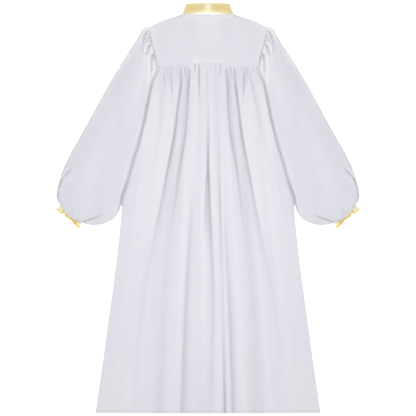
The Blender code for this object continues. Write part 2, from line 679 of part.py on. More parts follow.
def main():
    """Build the robe's pieces in their own collection."""
    for old in list(bpy.data.objects):
        bpy.data.objects.remove(old, do_unlink=True)
    collection = bpy.data.collections.new("choir_robe")
    bpy.context.scene.collection.children.link(collection)
    make_collar(collection)
    make_yoke(collection)
    make_skirt(collection)
    for name, side in (("left", -1), ("right", 1)):
        flat_panel(f"{name}_front", front_outline(side), WHITE_CLOTH, collection)
        make_sleeve(f"{name}_sleeve", side, collection)
        make_cuff(f"{name}_cuff", side, collection)


main()
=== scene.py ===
"""Looks of a choir robe laid flat with its back upwards.

The robe is white woven polyester with a smooth back yoke, a back skirt gathered into it and full
bishop sleeves. Its stand collar and elastic cuffs are gold satin. Every piece of cloth is a thin
closed shell on a fine grid, worked out from the sizes of the solids, with its folds, gathers,
seams and stitches.

Frame: X across, Y from the hem to the collar, Z up out of the back, origin under the middle.
Sizes are millimetres and become metres when a mesh is made. "Down" is the distance below the
collar's top edge, and "out" is the distance from the centre line. Tones are painted shade and
painted light: parts of a relief that runs from -1 in deep folds to 1 on ridges, which makes
the cloth's colour darker in its folds and paler on its ridges.
"""
import logging
import math
from dataclasses import dataclass, fields
from enum import Enum

import bpy
import numpy as np
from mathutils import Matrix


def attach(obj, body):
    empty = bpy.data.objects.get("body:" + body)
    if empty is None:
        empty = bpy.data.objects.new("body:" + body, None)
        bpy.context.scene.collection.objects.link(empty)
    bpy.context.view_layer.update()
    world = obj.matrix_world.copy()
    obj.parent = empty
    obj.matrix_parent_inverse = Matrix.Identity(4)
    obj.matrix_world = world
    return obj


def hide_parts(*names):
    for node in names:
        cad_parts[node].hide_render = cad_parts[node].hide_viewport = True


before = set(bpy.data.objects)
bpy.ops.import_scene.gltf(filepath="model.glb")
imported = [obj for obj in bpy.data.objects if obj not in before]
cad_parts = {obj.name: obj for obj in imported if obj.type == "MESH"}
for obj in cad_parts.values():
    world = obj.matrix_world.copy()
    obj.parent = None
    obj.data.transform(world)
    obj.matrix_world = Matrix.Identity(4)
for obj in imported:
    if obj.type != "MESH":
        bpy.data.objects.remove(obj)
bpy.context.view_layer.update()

Array = np.ndarray
Colour = tuple[float, float, float]
Levels = tuple[float, ...]
Pair = tuple[float, float]
Window = tuple[float, float, float, float]
Scale = tuple[int, float]
Cloth = bpy.types.Object

LOG = logging.getLogger("choir_robe")
MM = 0.001
UP = np.array((0.0, 0.0, 1.0))


class Side(Enum):
    """The two sides of the robe, as the sign of X."""

    LEFT = -1
    RIGHT = 1

    @property
    def word(self) -> str:
        """The side's name in the names of pieces."""
        return self.name.lower()


@dataclass(frozen=True)
class Station:
    """One point of an outline."""

    down: float
    out: float


@dataclass(frozen=True)
class FoldLine:
    """A long fold of the skirt: at each level its place across, its depth and its crease's."""

    across: Levels
    depth: Levels
    left: float
    right: float
    crease: Levels = ()
    crease_left: float = 3.0
    crease_right: float = 3.0
    columns_after: int = 0


@dataclass(frozen=True)
class Crease:
    """A short crease, or a painted streak of light or shade, from one point to another, bowed to one
    side.
    """

    x0: float
    down0: float
    x1: float
    down1: float
    bow: float
    depth: float
    left: float
    right: float
    hold: float = 0.45


@dataclass(frozen=True)
class Gather:
    """A gather that starts at a seam, leans by a share of its length and dies away."""

    place: float
    depth: float
    length: float
    half: float
    lean: float = 0.0


@dataclass(frozen=True)
class SleeveRing:
    """A ring of a sleeve: its outer and inner edge, its height and its bow."""

    out_a: float
    down_a: float
    out_b: float
    down_b: float
    loft: float
    bow: float


@dataclass(frozen=True)
class CuffRim:
    """Rim of a cuff at one place across it: its reach from the seam's ends and its height."""

    place: float
    reach: float
    loft: float


@dataclass(frozen=True)
class Tint:
    """Painted light or shade beside an edge: a bell at a place from it, on levels from one window.
    """

    amount: float
    place: float
    half: float
    levels: Window


def table(kind: type, *rows: tuple) -> tuple:
    """Table of a dataclass, made from its rows."""
    return tuple(kind(*row) for row in rows)


SHOULDER_LINE = table(Station, (37.3, 90.3), (39.3, 100), (49.4, 131), (61.5, 166), (78.5, 200))
ARMHOLE = table(Station, (78.5, 200), (113, 195), (137, 190), (165, 182.8), (189, 176.5),
                (213, 173), (227, 173.5))
SIDE_SEAM = table(Station, (227, 173.5), (285, 238), (696, 296), (851, 311.2), (1024, 333.8),
                  (1196, 357.3), (1411.4, 388.3))

LEVELS = (216, 280, 350, 450, 560, 690, 780, 1020, 1409)
SKIRT_LOFT = (8.8, 12.3, 15, 15.8, 16, 16, 16, 16, 16)
MAIN_FOLDS = table(
    FoldLine,
    ((-93, -93.5, -103, -115, -136, -160, -180, -227, -262),
     (2.5, 4.3, 5.5, 6, 6.5, 5.2, 4, 1.5, 0), 5, 26,
     (6, 5.5, 2.8, 2.8, 2.3, 1.2, 0.5, 0, 0), 2.2, 2.6, 30),
    ((-65, -68, -72, -80, -97, -115, -126, -152, -183),
     (2.5, 4.3, 5.5, 5.5, 5.5, 3.4, 1.3, 0.3, 0), 19, 7,
     (6.5, 6, 1.8, 1.8, 1.8, 1.2, 0.2, 0, 0), 6, 2.4, 33),
    ((-30, -30, -30, -37, -45, -54, -60, -74, -89),
     (0, 0, 0, 0, 0.8, 2.5, 4, 5, 5), 9, 14,
     (0, 0, 0, 0, 0, 0.5, 1, 2, 2), 4, 5, 34),
    ((-1.5, -1.5, 0, 0.8, 0.3, 4.2, 9, 17, 8),
     (0, 0.2, 0.6, 2, 4, 4.6, 5, 4.5, 0.6), 9, 5.5,
     (0, 0.5, 1, 2.8, 4.4, 2.2, 1.8, 1, 0), 2.2, 2.4, 26),
    ((30, 32, 33, 35.5, 38, 41, 44, 51, 59),
     (0, 0.6, 1.2, 2.2, 3.5, 3.8, 3.5, 1.5, 3), 5, 7,
     (0, 0, 0, 0, 0, 2, 2, 2, 5.5), 2.5, 2.2, 14),
    ((46, 48, 50, 53, 56, 59, 61, 75, 88),
     (0, 0, 0, 0, 0, 1, 2.5, 4.5, 5), 7, 10,
     (0, 0, 0, 0, 0, 1, 1, 2, 2.5), 4, 4, 32),
    ((64, 69, 71, 80, 98.5, 115, 126, 157, 176),
     (2.5, 4.3, 5.5, 5.5, 5.5, 3.4, 1.3, 0.3, 0), 7, 19,
     (6, 6, 1.8, 1.8, 1.8, 1.2, 0.2, 0, 0), 2.4, 6, 30),
    ((90, 95, 104, 116, 136, 160, 178, 229, 262),
     (2.5, 4.3, 5.5, 6, 6.5, 5.2, 4, 1.5, 0), 26, 5,
     (6, 5.5, 2.8, 2.8, 1.8, 1.2, 0.5, 0, 0), 2.6, 2.2, 62),
)
BROAD_VALLEYS = table(
    FoldLine,
    ((-62, -68, -74, -84, -99, -122, -132, -158, -174), (0, 0, 0, 0, 0, 2.4, 3.2, 4, 3.2), 28, 28),
    ((62, 68, 71, 82, 98, 118, 130, 153, 174), (0, 0, 0, 0, 0, 2.4, 3.2, 4, 3.4), 28, 28),
    ((-93, -93, -103, -115, -136, -160, -188, -230, -262), (0, 0, 0, 0, 0, 0, 1.3, 1.5, 0), 20, 20),
    ((90, 95, 104, 116, 136, 160, 186, 231, 262), (0, 0, 0, 0, 0, 0, 1.3, 1.5, 0), 20, 20),
)
SKIRT_CREASES = table(
    Crease,
    (-155, 220, -186, 560, 12, 2.5, 12, 10), (-128, 222, -119, 351, -2, 2, 5, 4),
    (-29, 218, -29, 352, 0, 1.5, 3, 3), (-0.5, 560, -8, 850, -3.5, 5, 2.4, 7, 0.5),
    (122, 222, 117, 333, 6, 2, 4, 5), (148, 230, 190, 575, 10, 2.5, 10, 12),
)
YOKE_GATHERS = table(
    Gather,
    (-165.5, 2.2, 200, 2.2), (-154, 3.8, 110, 2.2, 0.05), (-145, 4.2, 80, 2.2, 0.22),
    (-131, 3.6, 220, 2.2, 0.08), (-120.5, 3, 30, 2), (-110.5, 2.2, 24, 1.9),
    (-103.5, 3, 60, 2), (-79.5, 4.6, 46, 2.2, 0.05), (-72, 2, 16, 1.8), (-54, 1.8, 14, 1.8),
    (-45, 4.6, 34, 2.2), (-30.5, 4.2, 150, 2.2), (-18, 1.6, 16, 1.8), (-3.5, 1.4, 160, 2.2),
    (13.5, 1.6, 24, 2), (26, 2.2, 70, 2), (33, 1.8, 40, 1.9, -0.05), (43, 4, 55, 2.2, -0.06),
    (52, 2.2, 20, 1.9), (77.5, 4.6, 55, 2.2, 0.08), (101.5, 3, 75, 2), (109, 1.8, 20, 1.8),
    (117.5, 3.2, 34, 2), (127, 4.6, 190, 2.2, -0.05), (136, 5, 78, 2.2),
    (141.5, 3.4, 230, 2.2, 0.19), (155, 4, 34, 2), (165.5, 2.6, 70, 2.2),
)

SLEEVE_RINGS = table(
    SleeveRing,
    (200.5, 78.5, 174, 227, 13, 0), (213.5, 79.5, 186, 251, 18, 1),
    (229.8, 93.5, 196.5, 275, 21, 1), (245, 121.5, 203.5, 306, 23, 1),
    (271, 161, 210.5, 341, 25, 1), (303.5, 213, 221, 396, 26, 0),
    (334.5, 264.5, 233, 444, 26, 0), (372.5, 333.5, 246.5, 496, 26, 0),
    (410.5, 402.5, 260.5, 541, 26.5, 0), (445, 464.5, 273.5, 589, 27, 0),
    (472.5, 513, 286, 634, 28, 0), (493.5, 556, 297, 665, 28, 1),
    (507.5, 592.5, 301.5, 697, 28, 2), (518.5, 630, 309.5, 720, 26, 3),
    (521.5, 661.5, 328, 742, 23, 4), (519, 675, 357, 758, 20, 6),
    (514, 685.5, 396, 763.5, 16, 8), (509, 694, 434.5, 756.5, 11, 10),
)
SLEEVE_CREASES = table(
    Crease,
    (206, 86, 221, 180, 12.7, 6.5, 3.5, 4.5, 0.75), (194, 136, 212, 159, 0, 4.8, 2.5, 2.5, 0.6),
    (213, 152, 210, 186, 0, 3.5, 2.5, 3, 0.5), (190, 168, 191, 246, 3, 7.5, 2.2, 2.2, 0.75),
    (516, 637, 464, 567, -11, 7, 4, 4.5, 0.7), (439, 756, 349, 721, 2, 5.6, 2.8, 2.4, 0.5),
    (482, 724, 459, 711, 1, 2.5, 4, 4, 0.5), (300, 330, 318, 520, 0, 1.5, 20, 20),
)
# Streaks of painted light, and of painted shade where the depth is below 0, on the sleeve's head and
# creases.
SLEEVE_PAINTED_STREAKS = table(
    Crease,
    (221, 170, 203, 132, 0, 0.75, 2.4, 2.4, 0.8), (201, 160, 203, 330, 1.5, 0.45, 3, 4, 0.6),
    (218, 150, 226, 214, -2, 0.2, 4, 5, 0.6), (193, 143, 191.5, 176, 0, 0.6, 2.2, 2.2, 0.8),
    (186, 194, 183, 244, 2, 0.35, 2.5, 3, 0.7), (188, 170, 184, 202, 0, -0.4, 5, 5, 0.6),
    (207, 138, 205, 188, 0, -0.35, 6, 6, 0.6), (269, 168, 288, 216, 0, 0.25, 7, 7, 0.6),
    (511, 646, 482, 590, -7, 0.5, 3, 4, 0.6), (516, 642, 500, 594, 0, -0.7, 2.6, 3.4, 0.6),
)
HEAD_GATHERS = table(
    Gather,
    (0.03, 2.6, 26, 2.6), (0.09, 3, 34, 2.8), (0.16, 2.6, 22, 2.6), (0.23, 3.2, 30, 2.8),
    (0.31, 2.8, 20, 2.6), (0.40, 2, 24, 3), (0.56, 1.2, 18, 3), (0.86, 1, 16, 3),
)
CUFF_GATHERS = table(
    Gather,
    (0.06, 1.6, 12, 3), (0.14, 2.4, 22, 4), (0.24, 2, 14, 3), (0.33, 2.6, 20, 3.5),
    (0.43, 2, 30, 3.5), (0.52, 2.8, 16, 3.5), (0.61, 2, 24, 3), (0.71, 2.6, 14, 4),
    (0.81, 1.8, 26, 3.5), (0.91, 1.6, 14, 3),
)
# Painted shade along the lower outer rim and painted light near the upper outer edge; painted light
# along the inner edge, and painted shade along it near the sleeve's end.
OUTER_EDGE_LIGHT = table(Tint, (-0.9, 4, 4, (630, 665, 690, 705)), (0.13, 13, 14, (0, 1, 330, 450)))
INNER_EDGE_LIGHT = table(Tint, (0.12, 0, 16, (350, 450, 600, 680)), (-0.8, 0, 4.5, (600, 640, 708, 724)))
CUFF_RIM = table(
    CuffRim,
    (0, 19.5, 9), (0.11, 21, 12), (0.25, 20, 13), (0.37, 17.4, 8), (0.48, 20, 6.5),
    (0.58, 16.8, 7.5), (0.70, 17.8, 10), (0.86, 20.4, 12), (1, 20.5, 9),
)


def smoothstep(low: float, high: float, value: Array) -> Array:
    """Ease from 0 at low to 1 at high: three squares less two cubes of the share between them."""
    share = np.clip((value - low) / (high - low), 0.0, 1.0)
    return share * share * (3.0 - 2.0 * share)


def window(rise: float, full: float, fade: float, end: float, value: Array) -> Array:
    """Ease from 0 at rise to 1 at full, and from 1 at fade to 0 at end."""
    return smoothstep(rise, full, value) * (1.0 - smoothstep(fade, end, value))


def bell(offset: Array, half: float) -> Array:
    """Bell curve: the exponential of minus the square of the offset over half."""
    return np.exp(-(offset / half) ** 2)


def painted_edge_light(painted_marks: tuple[Tint, ...], gone: Array, down: Array) -> Array:
    """Sum of painted light and shade at a distance gone from their edge and at a distance down."""
    return sum(painted_mark.amount * window(*painted_mark.levels, down) * bell(gone - painted_mark.place, painted_mark.half)
               for painted_mark in painted_marks)


def along(stations: tuple[Station, ...], down: Array) -> Array:
    """Distance out at a distance down, on straight runs between stations."""
    return np.interp(down, [s.down for s in stations], [s.out for s in stations])


def curve_through(places: Array, values: Array, at: Array) -> Array:
    """Smooth curve through values at places: cubic pieces, with slopes from their neighbours.

    Args:
        places: Rising places of the values.
        values: Values that the curve goes through.
        at: Places at which the curve is read.

    Returns:
        The curve's values.
    """
    places, values = np.asarray(places, float), np.asarray(values, float)
    slopes = np.gradient(values, places)
    at = np.clip(at, places[0], places[-1])
    low = np.clip(np.searchsorted(places, at, side="right") - 1, 0, len(places) - 2)
    width = places[low + 1] - places[low]
    t = (at - places[low]) / width
    return ((2 * t ** 3 - 3 * t ** 2 + 1) * values[low]
            + (t ** 3 - 2 * t ** 2 + t) * width * slopes[low]
            + (3 * t ** 2 - 2 * t ** 3) * values[low + 1]
            + (t ** 3 - t ** 2) * width * slopes[low + 1])


def at_levels(values: Levels, down: Array) -> Array:
    """Values of a fold's table on a smooth curve at distances down, never below 0."""
    return np.maximum(curve_through(LEVELS, values, down), 0.0)


def trough(offset: Array, left: float, right: float) -> Array:
    """Profile of a fold line: 1 on the line, dying away exponentially over left and right."""
    return np.exp((1.0 - np.hypot(offset, 1.0)) / np.where(offset < 0.0, left, right))


def crease_depth(creases: tuple[Crease, ...], x: Array, down: Array) -> Array:
    """Depth of short creases, each strongest near its start and gone at its end.

    The depth is the trough profile of the distance beside the bowed line, times a rise over
    the first eighth of the line and a fall after the share that it holds.

    Args:
        creases: The creases.
        x: Places across.
        down: Places down.

    Returns:
        The depth at each place.
    """
    depth = np.zeros(np.broadcast(x, down).shape)
    for crease in creases:
        run_x, run_down = crease.x1 - crease.x0, crease.down1 - crease.down0
        length = math.hypot(run_x, run_down)
        share = ((x - crease.x0) * run_x + (down - crease.down0) * run_down) / length ** 2
        beside = ((x - crease.x0) * run_down - (down - crease.down0) * run_x) / length
        beside = beside - crease.bow * 4.0 * share * (1.0 - share)
        strength = window(0.0, 0.12, crease.hold, 1.0, share)
        depth += crease.depth * strength * trough(beside, crease.left, crease.right)
    return depth


def gather_depth(gathers: tuple[Gather, ...], place: Array, gone: Array, scale: Array) -> Array:
    """Depth of gathers: a bell across each, rising over 5 mm from its seam, then dying away.

    Args:
        gathers: The gathers.
        place: Place along the seam, in the gathers' own unit.
        gone: Distance gone from the seam.
        scale: Millimetres for each unit of place.

    Returns:
        The depth at each place.
    """
    depth = np.zeros(np.broadcast(place, gone).shape)
    for gather in gathers:
        beside = (place - gather.place) * scale - gather.lean * gone
        fade = smoothstep(0.0, 5.0, gone) * (1.0 - smoothstep(0.3, 1.0, gone / gather.length))
        depth += gather.depth * fade * bell(beside, gather.half)
    return depth


def relief_of(height: Array, half: int, depth: float) -> Array:
    """How far each point stands above the cloth on both sides of it: below 0 in the folds.

    It is the height less its mean over a number of columns on each side, over the depth, once
    for the small folds and once, three times as wide, for the large ones. Past an edge the
    height goes on as it does inside, turned about the edge's own height. The pieces paint it
    into their colour as shade in the folds and light on the ridges.

    Args:
        height: Heights, rows by columns.
        half: Number of columns on each side.
        depth: Difference that gives 1.

    Returns:
        The relief of each point.
    """
    relief = np.zeros(height.shape)
    for reach, scale in ((half, depth), (3 * half, 2.0 * depth)):
        padded = np.pad(height, ((0, 0), (reach, reach)), mode="reflect", reflect_type="odd")
        mean = np.lib.stride_tricks.sliding_window_view(padded, 2 * reach + 1, 1).mean(-1)
        relief += (height - mean) / scale / 2.0
    return relief


def spaced(steps: int, crowding: float = 0.5) -> Array:
    """Shares from 0 to 1, crowded towards both ends as a cosine is."""
    even = np.linspace(0.0, 1.0, steps)
    return even + crowding * (0.5 - 0.5 * np.cos(math.pi * even) - even)


def stepped(stops: Levels, counts: tuple[int, ...]) -> Array:
    """Column of rising values: so many even steps in each run from one stop to the next."""
    runs = [np.linspace(*run, endpoint=False) for run in zip(stops, stops[1:], counts[:-1])]
    return np.concatenate(runs + [np.linspace(stops[-2], stops[-1], counts[-1])])[:, None]


def surface_normals(points: Array) -> Array:
    """Unit normals of a grid of points: the cross product of its steps across and down."""
    normal = np.cross(np.gradient(points, axis=1), -np.gradient(points, axis=0))
    return normal / np.maximum(np.linalg.norm(normal, axis=2, keepdims=True), 1e-9)


def make_object(name: str, points: Array, corners: Array, flat: Array, relief: Array) -> Cloth:
    """Make a mesh object from four-sided faces, with its flat places and its relief.

    Args:
        name: Name of the object.
        points: Vertices, in metres.
        corners: Vertex numbers, four for each face.
        flat: Flat place of each face's corners, in metres.
        relief: Relief of each vertex, the painted shade and light of its colour.

    Returns:
        The object, at the origin.
    """
    mesh = bpy.data.meshes.new(name)
    mesh.vertices.add(len(points))
    mesh.vertices.foreach_set("co", points.astype(np.float32).ravel())
    mesh.loops.add(corners.size)
    mesh.loops.foreach_set("vertex_index", corners.astype(np.int32).ravel())
    mesh.polygons.add(len(corners))
    mesh.polygons.foreach_set("loop_start", np.arange(0, corners.size, 4, dtype=np.int32))
    mesh.update(calc_edges=True)
    layer = mesh.uv_layers.new(name="flat_cloth")
    layer.data.foreach_set("uv", flat.astype(np.float32).ravel())
    # The relief attribute carries painted shade and light into the material's colour.
    attribute = mesh.attributes.new("relief", "FLOAT", "POINT")
    attribute.data.foreach_set("value", relief.astype(np.float32))
    mesh.shade_smooth()
    mesh.set_sharp_from_angle(angle=math.radians(60.0))
    cloth = bpy.data.objects.new(name, mesh)
    bpy.context.scene.collection.objects.link(cloth)
    return cloth


@dataclass
class Shell:
    """One piece of cloth as two matching grids of points, in millimetres, and its relief.

    The grids are rows by columns by three. A closed shell's last column joins its first. The
    relief is painted shade and light in the colour.
    """

    outer: Array
    inner: Array
    relief: Array
    closed: bool = False

    def wrapped(self) -> Array:
        """Outer points in metres, with a last column for the closing seam."""
        last = self.outer[:, :1] if self.closed else self.outer[:, -1:]
        return np.concatenate((self.outer, last), axis=1) * MM

    def cover(self, top: Array, low: Array) -> Array:
        """Corners of the shell's faces: both skins and the strips that join their edges.

        Args:
            top: Numbers of the outer skin's corners, rows by columns.
            low: Numbers of the inner skin's.

        Returns:
            Four corners for each face.
        """
        skins, edges = [], []
        for grid in (top, low):
            cells = (grid[:-1, :-1], grid[1:, :-1], grid[1:, 1:], grid[:-1, 1:])
            skins.append(np.stack(cells, axis=-1).reshape(-1, 4))
            sides = [] if self.closed else [grid[::-1, 0], grid[:, -1]]
            edges.append([grid[0], grid[-1, ::-1]] + sides)
        strips = [np.stack((one[:-1], one[1:], other[1:], other[:-1]), axis=-1)
                  for one, other in zip(*edges)]
        return np.concatenate([skins[0], skins[1][:, ::-1]] + strips)

    def flat_places(self) -> Array:
        """Place of each point on the flat cloth: the distance gone across and down.

        Returns:
            One row for each grid place, in metres, with a last column for the closing seam.
        """
        points = self.wrapped()
        across = np.linalg.norm(np.diff(points, axis=1), axis=2)
        down = np.linalg.norm(np.diff(points, axis=0), axis=2)
        u = np.pad(np.cumsum(across, axis=1), ((0, 0), (1, 0)))
        v = np.pad(np.cumsum(down, axis=0), ((1, 0), (0, 0)))
        return np.stack((u - u.mean(axis=1, keepdims=True), v), axis=-1).reshape(-1, 2)

    def area(self) -> float:
        """Area of the outer skin, from the cross products of its cells.

        Returns:
            The area in square metres.
        """
        points = self.wrapped()
        cross = np.cross(points[1:, 1:] - points[:-1, :-1], points[1:, :-1] - points[:-1, 1:])
        return float(np.linalg.norm(cross, axis=2).sum() / 2.0)

    def build(self, name: str) -> Cloth:
        """Make the shell's object, with its faces pointing outwards.

        Args:
            name: Name of the object.

        Returns:
            The object, at the origin.
        """
        rows, columns, _ = self.outer.shape
        points = np.concatenate((self.outer.reshape(-1, 3), self.inner.reshape(-1, 3))) * MM
        place = np.arange(rows * (columns + 1)).reshape(rows, -1)
        vertex = np.arange(rows * columns).reshape(rows, -1)
        if self.closed:
            vertex = np.hstack((vertex, vertex[:, :1]))
        else:
            place = place[:, :-1]
        corners = self.cover(vertex, vertex + rows * columns)
        flat = self.cover(place, place)
        a, b, c, d = points[corners].transpose(1, 0, 2)
        if (a * (np.cross(b, c) + np.cross(c, d))).sum() < 0.0:
            corners, flat = corners[:, ::-1], flat[:, ::-1]
        relief = np.tile(np.clip(self.relief, -1.0, 1.0).ravel(), 2)
        return make_object(name, points, corners, self.flat_places()[flat], relief)


@dataclass(frozen=True)
class RobeCut:
    """Sizes and curves that the robe's pieces share."""

    length: float = 1411.4
    middle_down: float = 704.5
    cloth: float = 1.2
    seam_gap: float = 0.3
    collar_height: float = 37.0
    collar_base_half: float = 89.8
    collar_top_half: float = 73.8
    collar_arch: float = 30.0
    collar_top_arch: float = 26.0
    collar_squareness: float = 2.4
    collar_fullness: float = 0.7
    collar_dip: float = 1.5
    front_neck_drop: float = 60.0
    front_opening: float = 1.5
    yoke_down: float = 216.0
    yoke_rise: float = 9.0
    raised: Pair = (54.0, 62.0)
    shoulder_edge: float = 3.2
    armhole_edge: float = 8.6
    yoke_middle: float = 12.5
    yoke_side_run: float = 80.0
    yoke_top_run: float = 60.0
    dome_half: float = 150.0
    dome_run: float = 24.0
    arch_run: float = 42.0
    arch_power: float = 1.4
    sleeve_bed: float = 3.6
    bed_margin: float = 6.0
    bed_ramp: float = 14.0
    side_tuck: float = 9.0
    tucked: Window = (590.0, 670.0, 686.0, 702.0)

    @property
    def panel_edge(self) -> float:
        """Height of the back's side seams, which lie on the fronts."""
        return 2.0 * self.cloth + self.seam_gap

    @property
    def body_floor(self) -> float:
        """Lowest height of the back's underside, just above the fronts."""
        return self.cloth + self.seam_gap

    def side(self, down: Array) -> Array:
        """Distance out to the side seam, which runs a little further under the sleeve's end."""
        return along(SIDE_SEAM, down) + self.side_tuck * window(*self.tucked, down)

    def points(self, x: Array, down: Array, z: Array) -> Array:
        """Points in the robe's frame from distances across, down and up."""
        return np.stack(np.broadcast_arrays(x, self.middle_down - down, z), axis=-1).astype(float)

    def neck_edge(self, x: Array) -> Array:
        """Collar's back seam: distance down at x, a little lower in the middle."""
        return self.collar_height + self.collar_dip * (1.0 - (x / self.collar_base_half) ** 2)

    def neck_arch(self, x: Array, half: float, arch: float) -> Array:
        """Height of the arched back neck, a flattened half oval down to the shoulder's height."""
        oval = 1.0 - np.clip(np.abs(x) / half, 0.0, 1.0) ** self.collar_squareness
        return self.shoulder_edge + (arch - self.shoulder_edge) * oval ** self.collar_fullness

    def yoke_seam(self, x: Array) -> Array:
        """Seam between yoke and skirt: distance down at x, raised in the middle."""
        return self.yoke_down - np.interp(np.abs(x), self.raised, (self.yoke_rise, 0.0))

    def top_edge(self, x: Array) -> Array:
        """Upper edge of the yoke: the collar's seam, then the shoulder line."""
        line = np.array([(s.out, s.down) for s in SHOULDER_LINE]).T
        return np.where(np.abs(x) < self.collar_base_half, self.neck_edge(x),
                        np.interp(np.abs(x), *line))

    def yoke_height(self, x: Array, down: Array) -> Array:
        """Height of the yoke: low at its outer edges, arched up to the collar.

        Args:
            x: Places across.
            down: Places down.

        Returns:
            The height of the upper side.
        """
        below = np.maximum(down - self.top_edge(x), 0.0)
        inside = smoothstep(0.0, self.yoke_side_run, along(ARMHOLE, down) - np.abs(x))
        middle = self.armhole_edge + (self.yoke_middle - self.armhole_edge) * inside
        rise = smoothstep(0.0, self.yoke_top_run, below) * (middle - self.shoulder_edge)
        arch = self.neck_arch(x, self.collar_base_half, self.collar_arch) - self.shoulder_edge
        turn = np.clip(np.abs(x) / self.dome_half, 0.0, 1.0) * math.pi / 2.0
        dome = (self.collar_arch - self.shoulder_edge) * np.cos(turn) ** 2
        arch = arch + (dome - arch) * smoothstep(0.0, self.dome_run, below)
        fade = np.exp(-(below / self.arch_run) ** self.arch_power)
        return self.shoulder_edge + rise + arch * fade

    def bed(self, out: Array, down: Array, ramp: float) -> Array:
        """Height of a sleeve's underside: raised on the body, then down a ramp to the surface.

        Args:
            out: Places out.
            down: Places down.
            ramp: Length of the ramp, square to the body's outline under the sleeve.

        Returns:
            The height.
        """
        beyond = -np.inf
        for start, end in zip(SIDE_SEAM[:2], SIDE_SEAM[1:3]):
            run_out, run_down = end.out - start.out, end.down - start.down
            gone = (out - start.out) * run_down - (down - start.down) * run_out
            beyond = np.maximum(beyond, gone / math.hypot(run_out, run_down))
        return self.sleeve_bed * np.clip(1.0 - (beyond - self.bed_margin) / ramp, 0.0, 1.0)


class Shade:
    """A node tree that is being filled."""

    def __init__(self, tree: bpy.types.NodeTree) -> None:
        """Keep the tree."""
        self.tree = tree

    def put(self, node: bpy.types.Node, **values: object) -> bpy.types.Node:
        """Set a node's inputs, named with _ for each space, to values or join them to outputs.

        Args:
            node: The node.
            **values: A number, a colour, a vector or another node's output for each input.

        Returns:
            The node.
        """
        for name, value in values.items():
            socket = node.inputs[name.replace("_", " ")]
            if isinstance(value, bpy.types.NodeSocket):
                self.tree.links.new(value, socket)
            else:
                socket.default_value = value
        return node

    def add(self, kind: str, **settings: object) -> bpy.types.Node:
        """Add a node and set its own properties.

        Args:
            kind: The node's type.
            **settings: Its properties.

        Returns:
            The node.
        """
        node = self.tree.nodes.new(kind)
        for name, value in settings.items():
            setattr(node, name, value)
        return node

    def maths(self, operation: str, *values: object) -> bpy.types.NodeSocket:
        """Add a Math node.

        Args:
            operation: What it works out.
            *values: Sockets or numbers that it works on.

        Returns:
            Its result.
        """
        node = self.add("ShaderNodeMath", operation=operation)
        for socket, value in zip(node.inputs, values):
            if isinstance(value, bpy.types.NodeSocket):
                self.tree.links.new(value, socket)
            else:
                socket.default_value = value
        return node.outputs[0]


def weave_group() -> bpy.types.NodeTree:
    """Build the shared group for cloth: its threads, their unevenness and the painted shade and
    light of its folds.

    The weave is the product of two sine waves along the flat cloth's two directions. The
    unevenness is noise drawn out along the warp and along the weft.

    Returns:
        The group's node tree.
    """
    tree = bpy.data.node_groups.new("woven_cloth", "ShaderNodeTree")
    for direction, names in (("INPUT", ("Threads", "Unevenness", "Fold Tone")),
                             ("OUTPUT", ("Tone", "Height"))):
        for name in names:
            tree.interface.new_socket(name, in_out=direction, socket_type="NodeSocketFloat")
    shade = Shade(tree)
    inside = shade.add("NodeGroupInput").outputs
    flat = shade.add("ShaderNodeUVMap", uv_map="flat_cloth").outputs["UV"]
    parts = shade.put(shade.add("ShaderNodeSeparateXYZ"), Vector=flat)
    waves = []
    for part in parts.outputs[:2]:
        turns = shade.maths("MULTIPLY", part, inside["Threads"])
        waves.append(shade.maths("SINE", shade.maths("MULTIPLY", turns, math.pi)))
    weave = shade.maths("MULTIPLY_ADD", shade.maths("MULTIPLY", *waves), 0.5, 0.5)
    streaks = []
    for stretch in ((160.0, 9.0, 1.0), (14.0, 90.0, 1.0)):
        placed = shade.put(shade.add("ShaderNodeMapping"), Vector=flat, Scale=stretch)
        noise = shade.add("ShaderNodeTexNoise", noise_dimensions="2D")
        shade.put(noise, Vector=placed.outputs[0], Scale=1.0, Detail=3.0)
        streaks.append(shade.maths("SUBTRACT", noise.outputs[0], 0.5))
    slub = shade.maths("MULTIPLY", shade.maths("ADD", *streaks), inside["Unevenness"])
    # Painted shade and light: the relief times the fold tone darkens the colour in the folds and
    # pales it on the ridges.
    relief = shade.add("ShaderNodeAttribute", attribute_name="relief").outputs["Fac"]
    fold = shade.maths("MULTIPLY", relief, inside["Fold Tone"])
    tone = shade.maths("ADD", shade.maths("ADD", slub, fold), 0.5)
    shade.put(shade.add("NodeGroupOutput"), Tone=tone, Height=weave)
    return tree


@dataclass(frozen=True)
class ClothFinish:
    """A woven cloth: its colours from painted shade in deep folds up to painted light on ridges, its
    sheen and its threads.
    """

    name: str
    slot: str
    tones: tuple[tuple[float, Colour], ...]
    roughness: float
    specular: float
    sheen: float = 0.0
    coat: float = 0.0
    threads: float = 3000.0
    thread_height: float = 0.00005
    unevenness: float = 0.1
    painted_fold_shading: float = 0.0

    def material(self, group: bpy.types.NodeTree) -> bpy.types.Material:
        """Make the finish's material.

        Args:
            group: The shared weave group.

        Returns:
            The material.
        """
        material = bpy.data.materials.new(self.name)
        material.use_nodes = True
        shade = Shade(material.node_tree)
        weave = shade.put(shade.add("ShaderNodeGroup", node_tree=group), Threads=self.threads,
                          Unevenness=self.unevenness, Fold_Tone=self.painted_fold_shading)
        scale = shade.put(shade.add("ShaderNodeValToRGB"), Fac=weave.outputs["Tone"])
        stops = scale.color_ramp.elements
        while len(stops) < len(self.tones):
            stops.new(0.5)
        for stop, (place, colour) in zip(stops, self.tones):
            stop.position = place
            stop.color = (*colour, 1.0)
        raised = shade.put(shade.add("ShaderNodeBump"), Strength=0.6,
                           Distance=self.thread_height, Height=weave.outputs["Height"])
        shade.put(material.node_tree.nodes["Principled BSDF"], Base_Color=scale.outputs["Color"],
                  Normal=raised.outputs[0], Roughness=self.roughness,
                  Specular_IOR_Level=self.specular, Sheen_Weight=self.sheen, Sheen_Roughness=0.5,
                  Coat_Weight=self.coat, Coat_Roughness=0.35)
        return material
